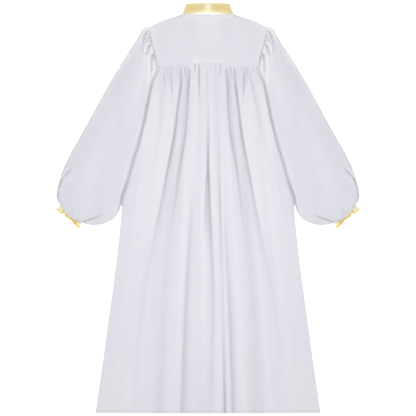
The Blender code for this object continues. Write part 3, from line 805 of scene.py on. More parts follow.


# Low stops are painted shade for deep folds and high stops painted light for ridges; the satin's
# palest stop is its painted highlight.
WHITE_CLOTH = ClothFinish(
    "white_polyester", "white_cloth",
    ((0.0, (0.48, 0.48, 0.505)), (0.40, (0.66, 0.66, 0.719)), (0.50, (0.705, 0.705, 0.769)),
     (0.56, (0.733, 0.731, 0.772)), (1.0, (0.93, 0.92, 0.955))),
    roughness=0.8, specular=0.25, sheen=0.08,
    threads=2400.0, thread_height=0.00008, unevenness=0.07, painted_fold_shading=0.5,
)
GOLD_SATIN = ClothFinish(
    "gold_polyester_satin", "gold_satin",
    ((0.0, (0.56, 0.35, 0.09)), (0.3, (0.86, 0.655, 0.235)), (0.5, (0.90, 0.73, 0.315)),
     (1.0, (0.98, 0.92, 0.70))),
    roughness=0.34, specular=1.0, sheen=0.25, coat=0.6,
    threads=3600.0, unevenness=0.3, painted_fold_shading=0.4,
)
WHITE_THREAD = ClothFinish(
    "white_sewing_thread", "white_cloth", ((0.0, (0.58, 0.58, 0.63)), (1.0, (0.70, 0.70, 0.75))),
    roughness=0.6, specular=0.4,
)
GOLD_THREAD = ClothFinish(
    "gold_sewing_thread", "gold_satin", ((0.0, (0.62, 0.42, 0.10)), (1.0, (0.78, 0.58, 0.20))),
    roughness=0.45, specular=0.6,
)


@dataclass
class Stitching:
    """Rows of machine stitches, each a small rounded thread lying along its seam."""

    pitch: float = 3.2
    length: float = 2.3
    radius: float = 0.28
    shoulder: float = 0.55
    taper: float = 0.3

    @staticmethod
    def read(gone: Array, values: Array, at: Array) -> Array:
        """Values along a line, read at distances gone."""
        return np.stack([np.interp(at, gone, column) for column in values.T], axis=-1)

    def row(self, line: Array, normal: Array) -> Array:
        """Place stitches at even distances along a line, each a tube through four square rings.

        Args:
            line: Points of the seam, in millimetres.
            normal: The cloth's normals at those points, or one for all.

        Returns:
            Sixteen points for each stitch.
        """
        gone = np.concatenate(([0.0], np.cumsum(np.linalg.norm(np.diff(line, axis=0), axis=1))))
        middles = np.arange(self.pitch / 2.0, gone[-1], self.pitch)
        ends = [self.read(gone, line, middles + step * self.length / 2.0)
                for step in (-1.0, -self.shoulder, self.shoulder, 1.0)]
        up = self.read(gone, np.broadcast_to(normal, line.shape), middles)
        up /= np.linalg.norm(up, axis=1, keepdims=True)
        beside = np.cross(up, ends[3] - ends[0])
        beside /= np.maximum(np.linalg.norm(beside, axis=1, keepdims=True), 1e-9)
        girths = (self.taper, 1.0, 1.0, self.taper)
        rings = [end + self.radius * girth * way for end, girth in zip(ends, girths)
                 for way in (beside, up, -beside, -up)]
        return np.stack(rings, axis=1)

    def build(self, name: str, rows: list[tuple[Array, Array]]) -> Cloth:
        """Join rows of stitches into one object.

        Args:
            name: Name of the object.
            rows: A line and its normals for each row.

        Returns:
            The object.
        """
        stitches = np.concatenate([self.row(line, normal) for line, normal in rows]) * MM
        start, side = np.arange(3)[:, None] * 4, np.arange(4)
        after = (side + 1) % 4
        tube = np.stack((start + side, start + after, start + 4 + after, start + 4 + side), -1)
        faces = np.concatenate((tube.reshape(-1, 4), [[3, 2, 1, 0], [12, 13, 14, 15]]))
        faces = (faces + np.arange(len(stitches))[:, None, None] * 16).reshape(-1, 4)
        points = stitches.reshape(-1, 3)
        return make_object(name, points, faces, points[faces][..., :2], np.zeros(len(points)))


class Wardrobe:
    """Makes each finish's material once and turns shells and stitches into dressed pieces."""

    def __init__(self) -> None:
        """Build the shared group."""
        self.group = weave_group()
        self.materials: dict[str, bpy.types.Material] = {}

    def dress(self, piece: Cloth, finish: ClothFinish) -> Cloth:
        """Give a piece its finish and its body, and report it.

        Args:
            piece: The piece.
            finish: Its finish.

        Returns:
            The piece.
        """
        if finish.name not in self.materials:
            self.materials[finish.name] = finish.material(self.group)
        piece.data.materials.append(self.materials[finish.name])
        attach(piece, "root")
        LOG.info("%s: %d faces of %s", piece.name, len(piece.data.polygons), finish.name)
        return piece

    def sew(self, shell: Shell, name: str, finish: ClothFinish) -> Cloth:
        """Make a shell's piece, dress it and report its cloth.

        Args:
            shell: The cloth.
            name: Name of the piece.
            finish: Its finish.

        Returns:
            The piece.
        """
        piece = self.dress(shell.build(name), finish)
        LOG.info("%s: %.4f square metres", name, shell.area())
        return piece


@dataclass
class BackYoke:
    """Back yoke: smooth cloth from the collar and shoulders to the gathered seam."""

    cut: RobeCut
    rows: int = 90
    columns: int = 181
    crowding: Pair = (0.6, 0.35)
    relief_scale: Scale = (10, 4.0)
    pinch: float = 0.5
    pinch_reach: float = 3.0
    roll: float = 1.2
    roll_place: float = 16.0
    roll_half: float = 9.0
    roll_sides: Pair = (62.0, 44.0)
    ripple: float = 0.35
    ripple_waves: Pair = (17.0, 47.0)
    ripple_shift: float = 0.8
    ripple_start: Pair = (0.0, 40.0)
    pucker: float = 0.25
    pucker_wave: float = 2.1
    pucker_reach: float = 5.0
    stitch_inset: float = 4.0
    stitch_top: float = 84.0
    stitch_lift: float = 0.1
    seam_end: float = 3.0
    seam_stations: int = 240
    side_stations: int = 80
    # Painted light and shade of the yoke's colour: painted light on slopes that tilt away from a
    # point high above, a painted highlight in the band, glows of painted light and shades of painted
    # shade.
    light_point_height: float = 2400.0
    painted_slope_light: float = 2.5
    painted_slope_light_run: float = 70.0
    painted_slope_light_limits: Pair = (-0.3, 0.6)
    band: float = 0.1
    band_run: Window = (-1.0, 3.0, 11.0, 27.0)
    band_sides: Pair = (62.0, 50.0)
    slope_glow: float = 0.45
    slope_place: float = 92.0
    slope_half: float = 14.0
    crown_shade: float = 0.22
    crown_sides: Pair = (78.0, 50.0)
    crown_run: float = 22.0
    shoulder_glow: float = 0.17
    shoulder_sides: Pair = (70.0, 110.0)
    shoulder_run: float = 40.0
    seam_shade: float = 0.25
    seam_sides: Pair = (96.0, 84.0)
    middle_glow: float = 0.07
    middle_half: float = 65.0
    middle_run: Pair = (25.0, 60.0)

    def places(self) -> tuple[Array, Array]:
        """Places across and down on the grid: shares of the armhole's width, row by row.

        Returns:
            X and down, rows by columns.
        """
        cut, top_side = self.cut, SHOULDER_LINE[-1]
        share = spaced(self.rows, self.crowding[0])[:, None]
        across = 2.0 * spaced(self.columns, self.crowding[1])[None, :] - 1.0
        x = across * along(ARMHOLE, top_side.down + (cut.yoke_down - top_side.down) * share)
        upper = cut.top_edge(across * top_side.out)
        lower = cut.yoke_seam(across * along(ARMHOLE, cut.yoke_down)) - cut.seam_gap
        return x, upper + (lower - upper) * share

    def height(self, x: Array, down: Array) -> Array:
        """Height of the yoke, drawn in along its seams, with a soft roll above the gathers.

        Args:
            x: Places across.
            down: Places down.

        Returns:
            The height of the upper side.
        """
        to_seam = self.cut.yoke_seam(x) - down
        to_top = down - self.cut.top_edge(x)
        drawn = sum(bell(np.maximum(gone, 0.0), self.pinch_reach)
                    for gone in (to_seam, along(ARMHOLE, down) - np.abs(x), to_top))
        roll = bell(to_seam - self.roll_place, self.roll_half)
        roll = roll * smoothstep(*self.roll_sides, np.abs(x))
        wave_across, wave_down = self.ripple_waves
        ripple = np.sin(x / wave_across + self.ripple_shift) * np.sin(down / wave_down)
        ripple = ripple * smoothstep(*self.ripple_start, to_top)
        pucker = np.sin(x / self.pucker_wave) * np.exp(-np.maximum(to_seam, 0.0) / self.pucker_reach)
        return (self.cut.yoke_height(x, down) + self.roll * roll + self.ripple * ripple
                + self.pucker * pucker - self.pinch * drawn)

    def relief(self, x: Array, down: Array, height: Array) -> Array:
        """Relief of the yoke, with painted light and shade on its arch's slopes, crown and seams.

        It has a painted highlight in the band over its raised seam, painted light on the arch's
        slopes and shoulders and down the middle, and painted shade on the crown and along the
        collar's seam. Where the arch tilts away from a point high above it, painted light makes it
        paler.

        Args:
            x: Places across.
            down: Places down.
            height: Heights there.

        Returns:
            The relief.
        """
        out, to_seam = np.abs(x), self.cut.yoke_seam(x) - down
        below = np.maximum(down - self.cut.top_edge(x), 0.0)
        # Painted highlight in the band over the raised seam, painted light on the slopes, shoulders
        # and middle, painted shade on the crown and along the collar's seam.
        band = window(*self.band_run, to_seam) * smoothstep(*self.band_sides, out)
        crown = (self.slope_glow * bell(out - self.slope_place, self.slope_half)
                 - self.crown_shade * smoothstep(*self.crown_sides, out))
        tone = crown * np.exp(-below / self.crown_run)
        shoulder = smoothstep(*self.shoulder_sides, out) * np.exp(-below / self.shoulder_run)
        seam = bell(below, self.stitch_inset) * smoothstep(*self.seam_sides, out)
        middle = bell(out, self.middle_half) * smoothstep(*self.middle_run, below)
        tone = (tone + self.shoulder_glow * shoulder - self.seam_shade * seam
                + self.middle_glow * middle)
        # Painted light: paler where the arch tilts away from a point high above it.
        points = self.cut.points(x, down, height)
        upwards = (UP * self.light_point_height - points) / self.light_point_height
        slope = 1.0 - (surface_normals(points) * upwards).sum(-1)
        painted_slope_light = np.clip(self.painted_slope_light * slope, *self.painted_slope_light_limits) * bell(below, self.painted_slope_light_run)
        return relief_of(height, *self.relief_scale) + self.band * band + painted_slope_light + tone

    def build(self, wardrobe: Wardrobe) -> None:
        """Make the yoke, with stitches along its seam and both armholes.

        Args:
            wardrobe: Dresses the pieces.
        """
        cut = self.cut
        x, down = self.places()
        outer = cut.points(x, down, self.height(x, down))
        inner = outer - surface_normals(outer) * cut.cloth
        inner[..., 2] = np.maximum(inner[..., 2], cut.body_floor)
        shell = Shell(outer, inner, self.relief(x, down, outer[..., 2]))
        yoke = wardrobe.sew(shell, "back_yoke_cloth", WHITE_CLOTH)
        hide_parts("back_yoke")

        seam_half = along(ARMHOLE, cut.yoke_down) - self.seam_end
        seam_x = np.linspace(-1.0, 1.0, self.seam_stations) * seam_half
        lines = [(seam_x, cut.yoke_seam(seam_x) - self.stitch_inset)]
        side_end = cut.yoke_down - self.stitch_inset
        side_down = np.linspace(self.stitch_top, side_end, self.side_stations)
        side_x = along(ARMHOLE, side_down) - self.stitch_inset
        lines += [(side.value * side_x, side_down) for side in Side]
        rows = [(cut.points(x, down, self.height(x, down) + self.stitch_lift), UP)
                for x, down in lines]
        stitches = wardrobe.dress(Stitching().build("yoke_stitches", rows), WHITE_THREAD)


@dataclass
class BackSkirt:
    """Back skirt: gathered at the yoke, with long folds to its narrow hem."""

    cut: RobeCut
    row_stops: Pair = (300.0, 1392.0)
    row_counts: tuple[int, ...] = (36, 98, 12)
    side_columns: int = 62
    seam_ease: float = 285.0
    thinnest: float = 0.5
    # Painted shade and light of the skirt's colour: its relief, deeper folds, the sleeve's edge, the
    # hem's edge, the low middle and the centre fold's mouth are painted darker, the low sides paler.
    relief_scale: Scale = (10, 4.0)
    relief_fade: Pair = (450.0, 1000.0)
    relief_share: Pair = (0.65, 0.4)
    depth_shade: float = 0.04
    fold_start: Pair = (0.0, 12.0)
    sheet_rise: Pair = (0.0, 45.0)
    side_power: float = 3.5
    wave_heights: Pair = (0.45, 0.35)
    waves_across: Pair = (13.0, 7.3)
    waves_along: Pair = (310.0, -420.0)
    wave_flow: Pair = (0.45, 0.55)
    wave_power: int = 4
    wave_start: float = 330.0
    contact_levels: Pair = (430.0, 610.0)
    contact_strength: Pair = (0.45, 0.65)
    contact_shades: Pair = (0.85, 0.2)
    contact_runs: Pair = (5.5, 16.0)
    covered: Window = (221.0, 241.0, 735.0, 760.0)
    under_sleeve: float = 3.0
    sleeve_clearance: float = 2.0
    strip_rise: float = 9.0
    pinch: float = 0.5
    lowest_valley: float = 3.9
    valley_ease: float = 1.2
    side_slope: float = 60.0
    hem: float = 7.0
    hem_groove: float = 0.6
    groove_half: float = 1.6
    hem_inset: float = 4.0
    hem_stations: int = 900
    hem_shade: float = 0.12
    hem_shade_place: float = 6.0
    hem_shade_half: float = 3.0
    stitch_lift: float = 0.15
    low: Pair = (1120.0, 1380.0)
    low_glow: float = 0.1
    low_sides: Pair = (200.0, 330.0)
    low_shade: float = 0.13
    low_place: float = -15.0
    low_half: float = 45.0
    mouth: Window = (610.0, 690.0, 760.0, 900.0)
    mouth_shade: float = 0.25
    mouth_half: float = 8.0
    mouth_place: float = 1.0
    crowded: Window = (60.0, 110.0, 250.0, 350.0)
    palest: Pair = (0.12, 0.15)

    def columns(self, level: Array) -> Array:
        """Places across at each level: columns that run along the main folds.

        Args:
            level: Distances down, one for each row.

        Returns:
            X, rows by columns.
        """
        half = self.cut.side(level)
        folds = [curve_through(LEVELS, fold.across, level) for fold in MAIN_FOLDS]
        stops = [-half] + folds + [half]
        counts = [self.side_columns] + [fold.columns_after for fold in MAIN_FOLDS]
        runs = [start + (end - start) * spaced(count + 1)[None, :-1]
                for start, end, count in zip(stops, stops[1:], counts)]
        return np.concatenate(runs + [half], axis=1)

    def inside_sleeve(self, x: Array, down: Array) -> Array:
        """Distance in from the inner edge of the sleeve, which lies over the skirt's side."""
        edge = np.array([(ring.down_b, ring.out_b) for ring in SLEEVE_RINGS[:14]]).T
        return np.interp(down, *edge) - np.abs(x)

    def folds(self, x: Array, down: Array) -> Array:
        """Depth of the skirt's folds.

        Each main fold is its depth at that level times the trough profile beside its line, and
        its crease is a narrower one. A broad valley has a bell for its profile.

        Args:
            x: Places across.
            down: Places down.

        Returns:
            The depth.
        """
        depth = crease_depth(SKIRT_CREASES, x, down)
        for fold in MAIN_FOLDS:
            beside = x - curve_through(LEVELS, fold.across, down)
            depth += at_levels(fold.depth, down) * trough(beside, fold.left, fold.right)
            crease = trough(beside, fold.crease_left, fold.crease_right)
            depth += at_levels(fold.crease, down) * crease
        for fold in BROAD_VALLEYS:
            beside = x - curve_through(LEVELS, fold.across, down)
            depth += at_levels(fold.depth, down) * bell(beside, fold.left)
        return depth

    def height(self, x: Array, down: Array) -> Array:
        """Height of the skirt: a lofted sheet less its folds and gathers, low under the sleeves.

        A soft floor keeps the valleys above the fronts, and the sides come down to their seams.

        Args:
            x: Places across.
            down: Places down.

        Returns:
            The height of the upper side.
        """
        cut, floor, ease = self.cut, self.lowest_valley, self.valley_ease
        share = np.clip(np.abs(x) / cut.side(down), 0.0, 1.0)
        below = np.maximum(down - cut.yoke_seam(x), 0.0)
        height = self.sheet(x, down) + self.ripples(x, down, share)
        height = height - self.folds(x, down) * smoothstep(*self.fold_start, below)
        height = height - gather_depth(YOKE_GATHERS, x, below, 1.0)
        height = floor + np.logaddexp(0.0, ease * (height - floor)) / ease
        height = np.minimum(height, cut.panel_edge + self.side_slope * (1.0 - share))
        inside = self.inside_sleeve(x, down) - self.sleeve_clearance
        strip = self.under_sleeve + (height - self.under_sleeve) * smoothstep(
            0.0, self.strip_rise, inside)
        height = height + (np.minimum(height, strip) - height) * window(*self.covered, down)
        groove = self.hem_groove * bell(cut.length - self.hem - down, self.groove_half)
        return np.where(share >= 1.0, cut.panel_edge, height - groove)

    def sheet(self, x: Array, down: Array) -> Array:
        """Height of the skirt before its folds: it rises from the seam and falls to its sides.

        Args:
            x: Places across.
            down: Places down.

        Returns:
            The height.
        """
        cut, seam_down = self.cut, self.cut.yoke_seam(x)
        share = np.clip(np.abs(x) / cut.side(down), 0.0, 1.0)
        loft = curve_through(LEVELS, SKIRT_LOFT, down) * (1.0 - share ** self.side_power)
        loft = cut.panel_edge + loft
        seam = cut.yoke_height(x, seam_down) - self.pinch
        return seam + (loft - seam) * smoothstep(*self.sheet_rise, down - seam_down)

    def ripples(self, x: Array, down: Array, share: Array) -> Array:
        """Slight unevenness of hanging cloth: waves along the folds that drift down the skirt.

        Args:
            x: Places across.
            down: Places down.
            share: Share of the way out to the side seam.

        Returns:
            The height of the waves.
        """
        narrowest, growth = self.wave_flow
        flow = x / (narrowest + growth * down / self.cut.length)
        waves = sum(height * np.sin(flow / across + down / along_folds)
                    for height, across, along_folds in zip(
                        self.wave_heights, self.waves_across, self.waves_along))
        inward = 1.0 - share ** self.wave_power
        return waves * inward * smoothstep(self.cut.yoke_down, self.wave_start, down)

    def contact(self, x: Array, down: Array) -> Array:
        """How much the sleeve's edge shades the skirt: a thin line, and a soft one beside it.

        Args:
            x: Places across.
            down: Places down.

        Returns:
            The shade, strongest at the sleeve's end.
        """
        inside = np.maximum(self.inside_sleeve(x, down), 0.0)
        weakest, gain = self.contact_strength
        strength = weakest + gain * smoothstep(*self.contact_levels, down)
        shade = sum(tone * np.exp(-inside / run)
                    for tone, run in zip(self.contact_shades, self.contact_runs))
        return strength * shade * window(*self.covered, down)

    def relief(self, x: Array, down: Array, height: Array) -> Array:
        """Relief of the skirt: painted shade by the sleeve's edge, hem and mouth, painted light on
        its low sides.

        Args:
            x: Places across.
            down: Places down.
            height: Heights there.

        Returns:
            The relief, held down between the crowded gathers.
        """
        out, low = np.abs(x), smoothstep(*self.low, down)
        most, loss = self.relief_share
        share = most - loss * smoothstep(*self.relief_fade, down)
        # Painted shade in the folds and painted light on the ridges, darker the deeper the fold.
        depth = self.sheet(x, down) - height
        relief = share * relief_of(height, *self.relief_scale) - self.depth_shade * depth
        # Painted shadow of the sleeve's edge, painted light on the low sides, and painted shade in
        # the low middle, along the hem's edge and in the centre fold's mouth.
        relief = relief - self.contact(x, down)
        relief = relief + self.low_glow * low * smoothstep(*self.low_sides, out)
        relief = relief - self.low_shade * low * bell(x - self.low_place, self.low_half)
        from_hem = self.cut.length - down - self.hem_shade_place
        relief = relief - self.hem_shade * bell(from_hem, self.hem_shade_half)
        mouth = np.exp(-((x - self.mouth_place) / self.mouth_half) ** 4)
        relief = relief - self.mouth_shade * window(*self.mouth, down) * mouth
        start, full, fade, end = self.crowded
        crowded = smoothstep(start, full, out) * (1.0 - smoothstep(fade, end, down))
        limit, held_down = self.palest
        return np.minimum(relief, limit - held_down * crowded)

    def build(self, wardrobe: Wardrobe) -> None:
        """Make the skirt and the stitches of its hem.

        Args:
            wardrobe: Dresses the pieces.
        """
        cut = self.cut
        level = stepped((cut.yoke_down, *self.row_stops, cut.length), self.row_counts)
        x = self.columns(level)
        eased = 1.0 - smoothstep(cut.yoke_down, self.seam_ease, level)
        down = level - (cut.yoke_down - cut.yoke_seam(x)) * eased
        outer = cut.points(x, down, self.height(x, down))
        inner = outer - surface_normals(outer) * cut.cloth
        inner[..., 2] = np.clip(inner[..., 2], cut.body_floor, outer[..., 2] - self.thinnest)
        shell = Shell(outer, inner, self.relief(x, down, outer[..., 2]))
        skirt = wardrobe.sew(shell, "back_skirt_cloth", WHITE_CLOTH)
        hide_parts("back_skirt")

        hem_down = np.full(self.hem_stations, cut.length - self.hem)
        hem_half = along(SIDE_SEAM, hem_down) - self.hem_inset
        hem_x = np.linspace(-1.0, 1.0, self.hem_stations) * hem_half
        line = cut.points(hem_x, hem_down, self.height(hem_x, hem_down) + self.stitch_lift)
        stitches = wardrobe.dress(Stitching().build("hem_stitches", [(line, UP)]), WHITE_THREAD)


@dataclass
class Front:
    """One front: a plain panel under the back, from the shoulder to the hem."""

    cut: RobeCut
    side: Side
    row_counts: tuple[int, ...] = (40, 260, 12)
    columns: int = 42
    crowding: float = 0.8
    top_gap: float = 1.4
    neck_gap: float = 0.8
    hem: float = 7.0
    hem_run: float = 12.0
    edge_turn: float = 9.0
    groove: float = 0.45
    groove_half: float = 1.2
    top_groove: float = 0.2
    stitch_inset: float = 4.0
    stitch_height: float = 0.3
    hem_stations: int = 200
    edge_stations: int = 600

    def inner_edge(self, down: Array) -> Array:
        """Neck curve, a quarter oval, and below it the centre front.

        Args:
            down: Distances down.

        Returns:
            Distances out.
        """
        cut = self.cut
        drop = np.clip((down - cut.collar_height - self.neck_gap) / cut.front_neck_drop, 0.0, 1.0)
        neck = cut.collar_base_half * np.sqrt(1.0 - drop ** 2) + self.neck_gap
        return np.where(drop < 1.0, neck, cut.seam_gap)

    def outer_edge(self, down: Array) -> Array:
        """Shoulder line, armhole and side seam."""
        upper = along(SHOULDER_LINE[:-1] + ARMHOLE[:-1] + SIDE_SEAM, down)
        return np.maximum(upper, np.where(down > SIDE_SEAM[1].down, self.cut.side(down), 0.0))

    def build(self, wardrobe: Wardrobe) -> None:
        """Make the front, flat on the surface, and the stitches of its hem and its edge.

        Args:
            wardrobe: Dresses the pieces.
        """
        cut, sign, name = self.cut, self.side.value, f"{self.side.word}_front"
        neck_end = cut.collar_height + cut.front_neck_drop + self.neck_gap
        stops = (SHOULDER_LINE[0].down + self.top_gap, neck_end, cut.length - self.hem_run)
        down = stepped((*stops, cut.length), self.row_counts)
        start, hem_down = self.inner_edge(down), cut.length - self.hem
        x = start + (self.outer_edge(down) - start) * spaced(self.columns, self.crowding)[None, :]
        edge_x = cut.seam_gap + self.edge_turn
        edge_line = bell(x - edge_x, self.groove_half) * (down > neck_end)
        sewn = np.maximum(bell(hem_down - down, self.groove_half), edge_line)
        outer = cut.points(sign * x, down, cut.cloth - self.top_groove * sewn)
        inner = cut.points(sign * x, down, self.groove * sewn)
        shell = Shell(outer, inner, np.zeros(x.shape))
        front = wardrobe.sew(shell, f"{name}_cloth", WHITE_CLOTH)
        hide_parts(name)

        inset = self.stitch_inset
        hem_x = np.linspace(inset, along(SIDE_SEAM, cut.length) - inset, self.hem_stations)
        edge_down = np.linspace(neck_end + inset, cut.length - inset, self.edge_stations)
        lines = ((hem_x, hem_down), (edge_x, edge_down))
        rows = [(cut.points(sign * x, down, self.stitch_height), -UP) for x, down in lines]
        stitches = wardrobe.dress(Stitching().build(f"{name}_stitches", rows), WHITE_THREAD)


@dataclass
class Sleeve:
    """Bishop sleeve: a flattened tube, gathered into the armhole and into the cuff."""

    cut: RobeCut
    side: Side
    rings: int = 190
    top_columns: int = 150
    low_columns: int = 44
    top_crowding: float = 0.8
    low_crowding: float = 0.4
    row_shares: Levels = (0.0, 0.3, 0.8, 1.0)
    row_rings: Levels = (0.0, 3.2, 14.5, 17.0)
    edge_height: float = 5.0
    edge_reach: float = 8.0
    top_ramp: float = 70.0
    edge_rise: float = 2.0
    dome_power: float = 0.7
    wave_heights: Pair = (0.5, 0.3)
    waves_across: Pair = (9.0, 15.0)
    waves_along: Pair = (0.5, -0.4)
    seam_levels: Pair = (78.5, 141.0)
    seam_sink: float = 1.0
    edge_lift: float = 0.8
    low_edge_reach: float = 2.5
    head_rise: float = 7.0
    armhole_gap: float = 0.5
    ruche_middle: Pair = (209.0, 121.0)
    ruche_reach: Pair = (13.0, 20.0)
    ruche_shifts: Pair = (331.0, 89.0)
    ruche_pitch: float = 13.0
    # Painted light and shade of the upper layer's colour: glows are painted light, shades painted
    # shade, and the tone a painted shade over the whole layer.
    ruche_shade: float = 0.6
    seam_shade: float = 0.6
    seam_start: Pair = (125.0, 150.0)
    relief_scale: Scale = (7, 5.0)
    relief_limits: Pair = (-0.85, 0.4)
    rim_glow: float = 0.2
    rim_run: float = 40.0
    tone: float = 0.15
    seam_run: float = 2.8
    edge_glow: float = 0.9
    edge_run: float = 5.0
    edge_losses: Pair = (0.4, 0.5)
    upper_fade: Pair = (180.0, 330.0)
    lower_fade: Pair = (480.0, 600.0)
    head_glow: float = 0.12
    head_run: Pair = (60.0, 240.0)
    body_shade: float = 0.12
    body_sides: Pair = (0.35, 0.8)
    body_start: Pair = (150.0, 350.0)

    def measures(self, number: Array) -> dict[str, Array]:
        """Ring measures at fractional ring numbers, on smooth curves through the table."""
        names, numbers = [field.name for field in fields(SleeveRing)], range(len(SLEEVE_RINGS))
        return {name: curve_through(numbers, [getattr(ring, name) for ring in SLEEVE_RINGS], number)
                for name in names}

    def places(self, number: Array, share: Array) -> tuple[Array, Array, Array]:
        """Places out and down on the rings, from the sleeve's outer edge to its inner edge.

        A ring is a straight line between its edges, bowed towards the hand by a parabola. The
        first ring follows the armhole's curve, and the next takes up the difference.

        Args:
            number: Ring numbers.
            share: Shares of the way across.

        Returns:
            Out, down, and each ring's width.
        """
        ring = self.measures(number)
        run_out, run_down = ring["out_b"] - ring["out_a"], ring["down_b"] - ring["down_a"]
        width = np.hypot(run_out, run_down)
        bow = ring["bow"] * 4.0 * share * (1.0 - share) / width
        first = SLEEVE_RINGS[0]
        armhole_down = first.down_a + (first.down_b - first.down_a) * share
        straight = first.out_a + (first.out_b - first.out_a) * share
        curve = along(ARMHOLE, armhole_down) + self.armhole_gap - straight
        out = ring["out_a"] + run_out * share + run_down * bow
        out = out + curve * np.clip(1.0 - number, 0.0, 1.0)
        return out, ring["down_a"] + run_down * share - run_out * bow, width

    def top_height(self, number: Array, share: Array, gone: Array, left: Array) -> Array:
        """Height of the sleeve's upper layer: rounded edges, a dome, creases and gathers.

        The edge is a parabola as high as the edge's height. The dome is a sine across the
        sleeve, to the power of 0.7.

        Args:
            number: Ring numbers.
            share: Shares of the way across.
            gone: Distance gone from the armhole.
            left: Distance left to the cuff.

        Returns:
            The height of the upper side.
        """
        cut = self.cut
        out, down, width = self.places(number, share)
        loft, middle = self.measures(number)["loft"], np.sin(math.pi * share)
        bed = cut.bed(out, down, self.top_ramp)
        near = np.clip(np.minimum(share, 1.0 - share) * width / self.edge_reach, 0.0, 1.0)
        rounded = self.edge_height * (1.0 - (1.0 - near) ** 2)
        dome = middle ** self.dome_power * np.maximum(loft - self.edge_height, 0.0)
        waves = sum(height * np.sin(share * across + number * along_sleeve)
                    for height, across, along_sleeve in zip(
                        self.wave_heights, self.waves_across, self.waves_along))
        lofted = bed + np.minimum(rounded, loft) + dome + waves * middle
        gathers = gather_depth(HEAD_GATHERS, share, gone, width)
        gathers = gathers + gather_depth(CUFF_GATHERS, share, left, width) + self.ruching(out, down)
        sunk = (crease_depth(SLEEVE_CREASES, out, down) + gathers) * smoothstep(0.0, 1.0, near)
        seam = np.interp(down, self.seam_levels, (cut.shoulder_edge, cut.armhole_edge))
        seam = np.maximum(seam, bed + cut.shoulder_edge) - self.seam_sink
        top = seam + (lofted - sunk - seam) * smoothstep(0.0, self.head_rise, gone)
        return np.maximum(top, bed + self.edge_rise + self.edge_lift * near)

    def ruching(self, out: Array, down: Array) -> Array:
        """Fine crossed gathers at the sleeve's head: the deeper of two waves, in an oval.

        Args:
            out: Places out.
            down: Places down.

        Returns:
            The depth.
        """
        (middle_out, middle_down), (half_out, half_down) = self.ruche_middle, self.ruche_reach
        away = ((out - middle_out) / half_out) ** 2 + ((down - middle_down) / half_down) ** 2
        waves = [np.cos((gone - shift) * 2.0 * math.pi / self.ruche_pitch)
                 for gone, shift in zip((out + down, out - down), self.ruche_shifts)]
        return -np.minimum(*waves) * np.exp(-away ** 2)

    def relief(self, number: Array, share: Array, gone: Array, top: Array) -> Array:
        """Relief of the upper layer, with painted light and shade at its edges, head, seam and
        streaks.

        Args:
            number: Ring numbers.
            share: Shares of the way across.
            gone: Distance gone from the armhole.
            top: Heights there.

        Returns:
            The relief.
        """
        out, down, width = self.places(number, share)
        outer_edge, inner_edge = share * width, (1.0 - share) * width
        edge = np.minimum(share, 1.0 - share) * width
        # Painted shade in the folds and painted light on the ridges, then painted light and shade at
        # the edges, head, seam, body side, streaks and ruching.
        shown = np.clip(relief_of(top, *self.relief_scale), *self.relief_limits)
        shown = shown + self.rim_glow * np.exp(-edge / self.rim_run) - self.tone
        seam = self.seam_shade * np.exp(-gone / self.seam_run)
        shown = shown - seam * smoothstep(*self.seam_start, down)
        glow = self.edge_glow
        for loss, fade in zip(self.edge_losses, (self.upper_fade, self.lower_fade)):
            glow = glow - loss * smoothstep(*fade, down)
        shown = shown + glow * np.exp(-outer_edge / self.edge_run)
        shown = shown + self.head_glow * (1.0 - smoothstep(*self.head_run, gone))
        shown = shown + painted_edge_light(OUTER_EDGE_LIGHT, outer_edge, down) + painted_edge_light(INNER_EDGE_LIGHT, inner_edge, down)
        # Painted shade over the body's side, and streaks of painted light and shade.
        body = smoothstep(*self.body_sides, share) * smoothstep(*self.body_start, gone)
        shown = shown - self.body_shade * body + crease_depth(SLEEVE_PAINTED_STREAKS, out, down)
        return shown - self.ruche_shade * self.ruching(out, down)

    def build(self, wardrobe: Wardrobe) -> None:
        """Make the sleeve, with its rings closer at the head and at the cuff.

        Args:
            wardrobe: Dresses the pieces.
        """
        cut, name = self.cut, f"{self.side.word}_sleeve"
        even = np.linspace(0.0, 1.0, self.rings)
        number = np.interp(even, self.row_shares, self.row_rings)[:, None]
        middle_out, middle_down, _ = self.places(number[:, 0], 0.5)
        steps = np.hypot(np.diff(middle_out), np.diff(middle_down))
        gone = np.concatenate(([0.0], np.cumsum(steps)))[:, None]
        top_share = spaced(self.top_columns, self.top_crowding)[None, :]
        low_share = spaced(self.low_columns, self.low_crowding)[None, ::-1][:, 1:-1]
        out, down, _ = self.places(number, top_share)
        top = self.top_height(number, top_share, gone, gone[-1] - gone)
        low_out, low_down, width = self.places(number, low_share)
        low_edge = np.minimum(low_share, 1.0 - low_share) * width
        inward = np.clip(low_edge / self.low_edge_reach, 0.0, 1.0)
        low = cut.bed(low_out, low_down, cut.bed_ramp) + self.edge_rise * (1.0 - inward) ** 2
        x, down, z = (np.concatenate(pair, axis=1)
                      for pair in ((out, low_out), (down, low_down), (top, low)))
        outer = cut.points(self.side.value * x, down, z)
        shown = self.relief(number, top_share, gone, top)
        relief = np.concatenate((shown, np.zeros(low.shape)), axis=1)
        shell = Shell(outer, self.inside(outer), relief, closed=True)
        sleeve = wardrobe.sew(shell, f"{name}_cloth", WHITE_CLOTH)
        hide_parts(name)

    def inside(self, outer: Array) -> Array:
        """Points of a tube's inner side: a cloth's thickness in from its outer side.

        Args:
            outer: Outer points, rows by columns round the tube.

        Returns:
            The inner points.
        """
        wrapped = np.concatenate((outer[:, -1:], outer, outer[:, :1]), axis=1)
        normal = surface_normals(wrapped)[:, 1:-1]
        if np.mean(normal[:, self.top_columns // 2, 2]) < 0.0:
            normal = -normal
        return outer - normal * self.cut.cloth


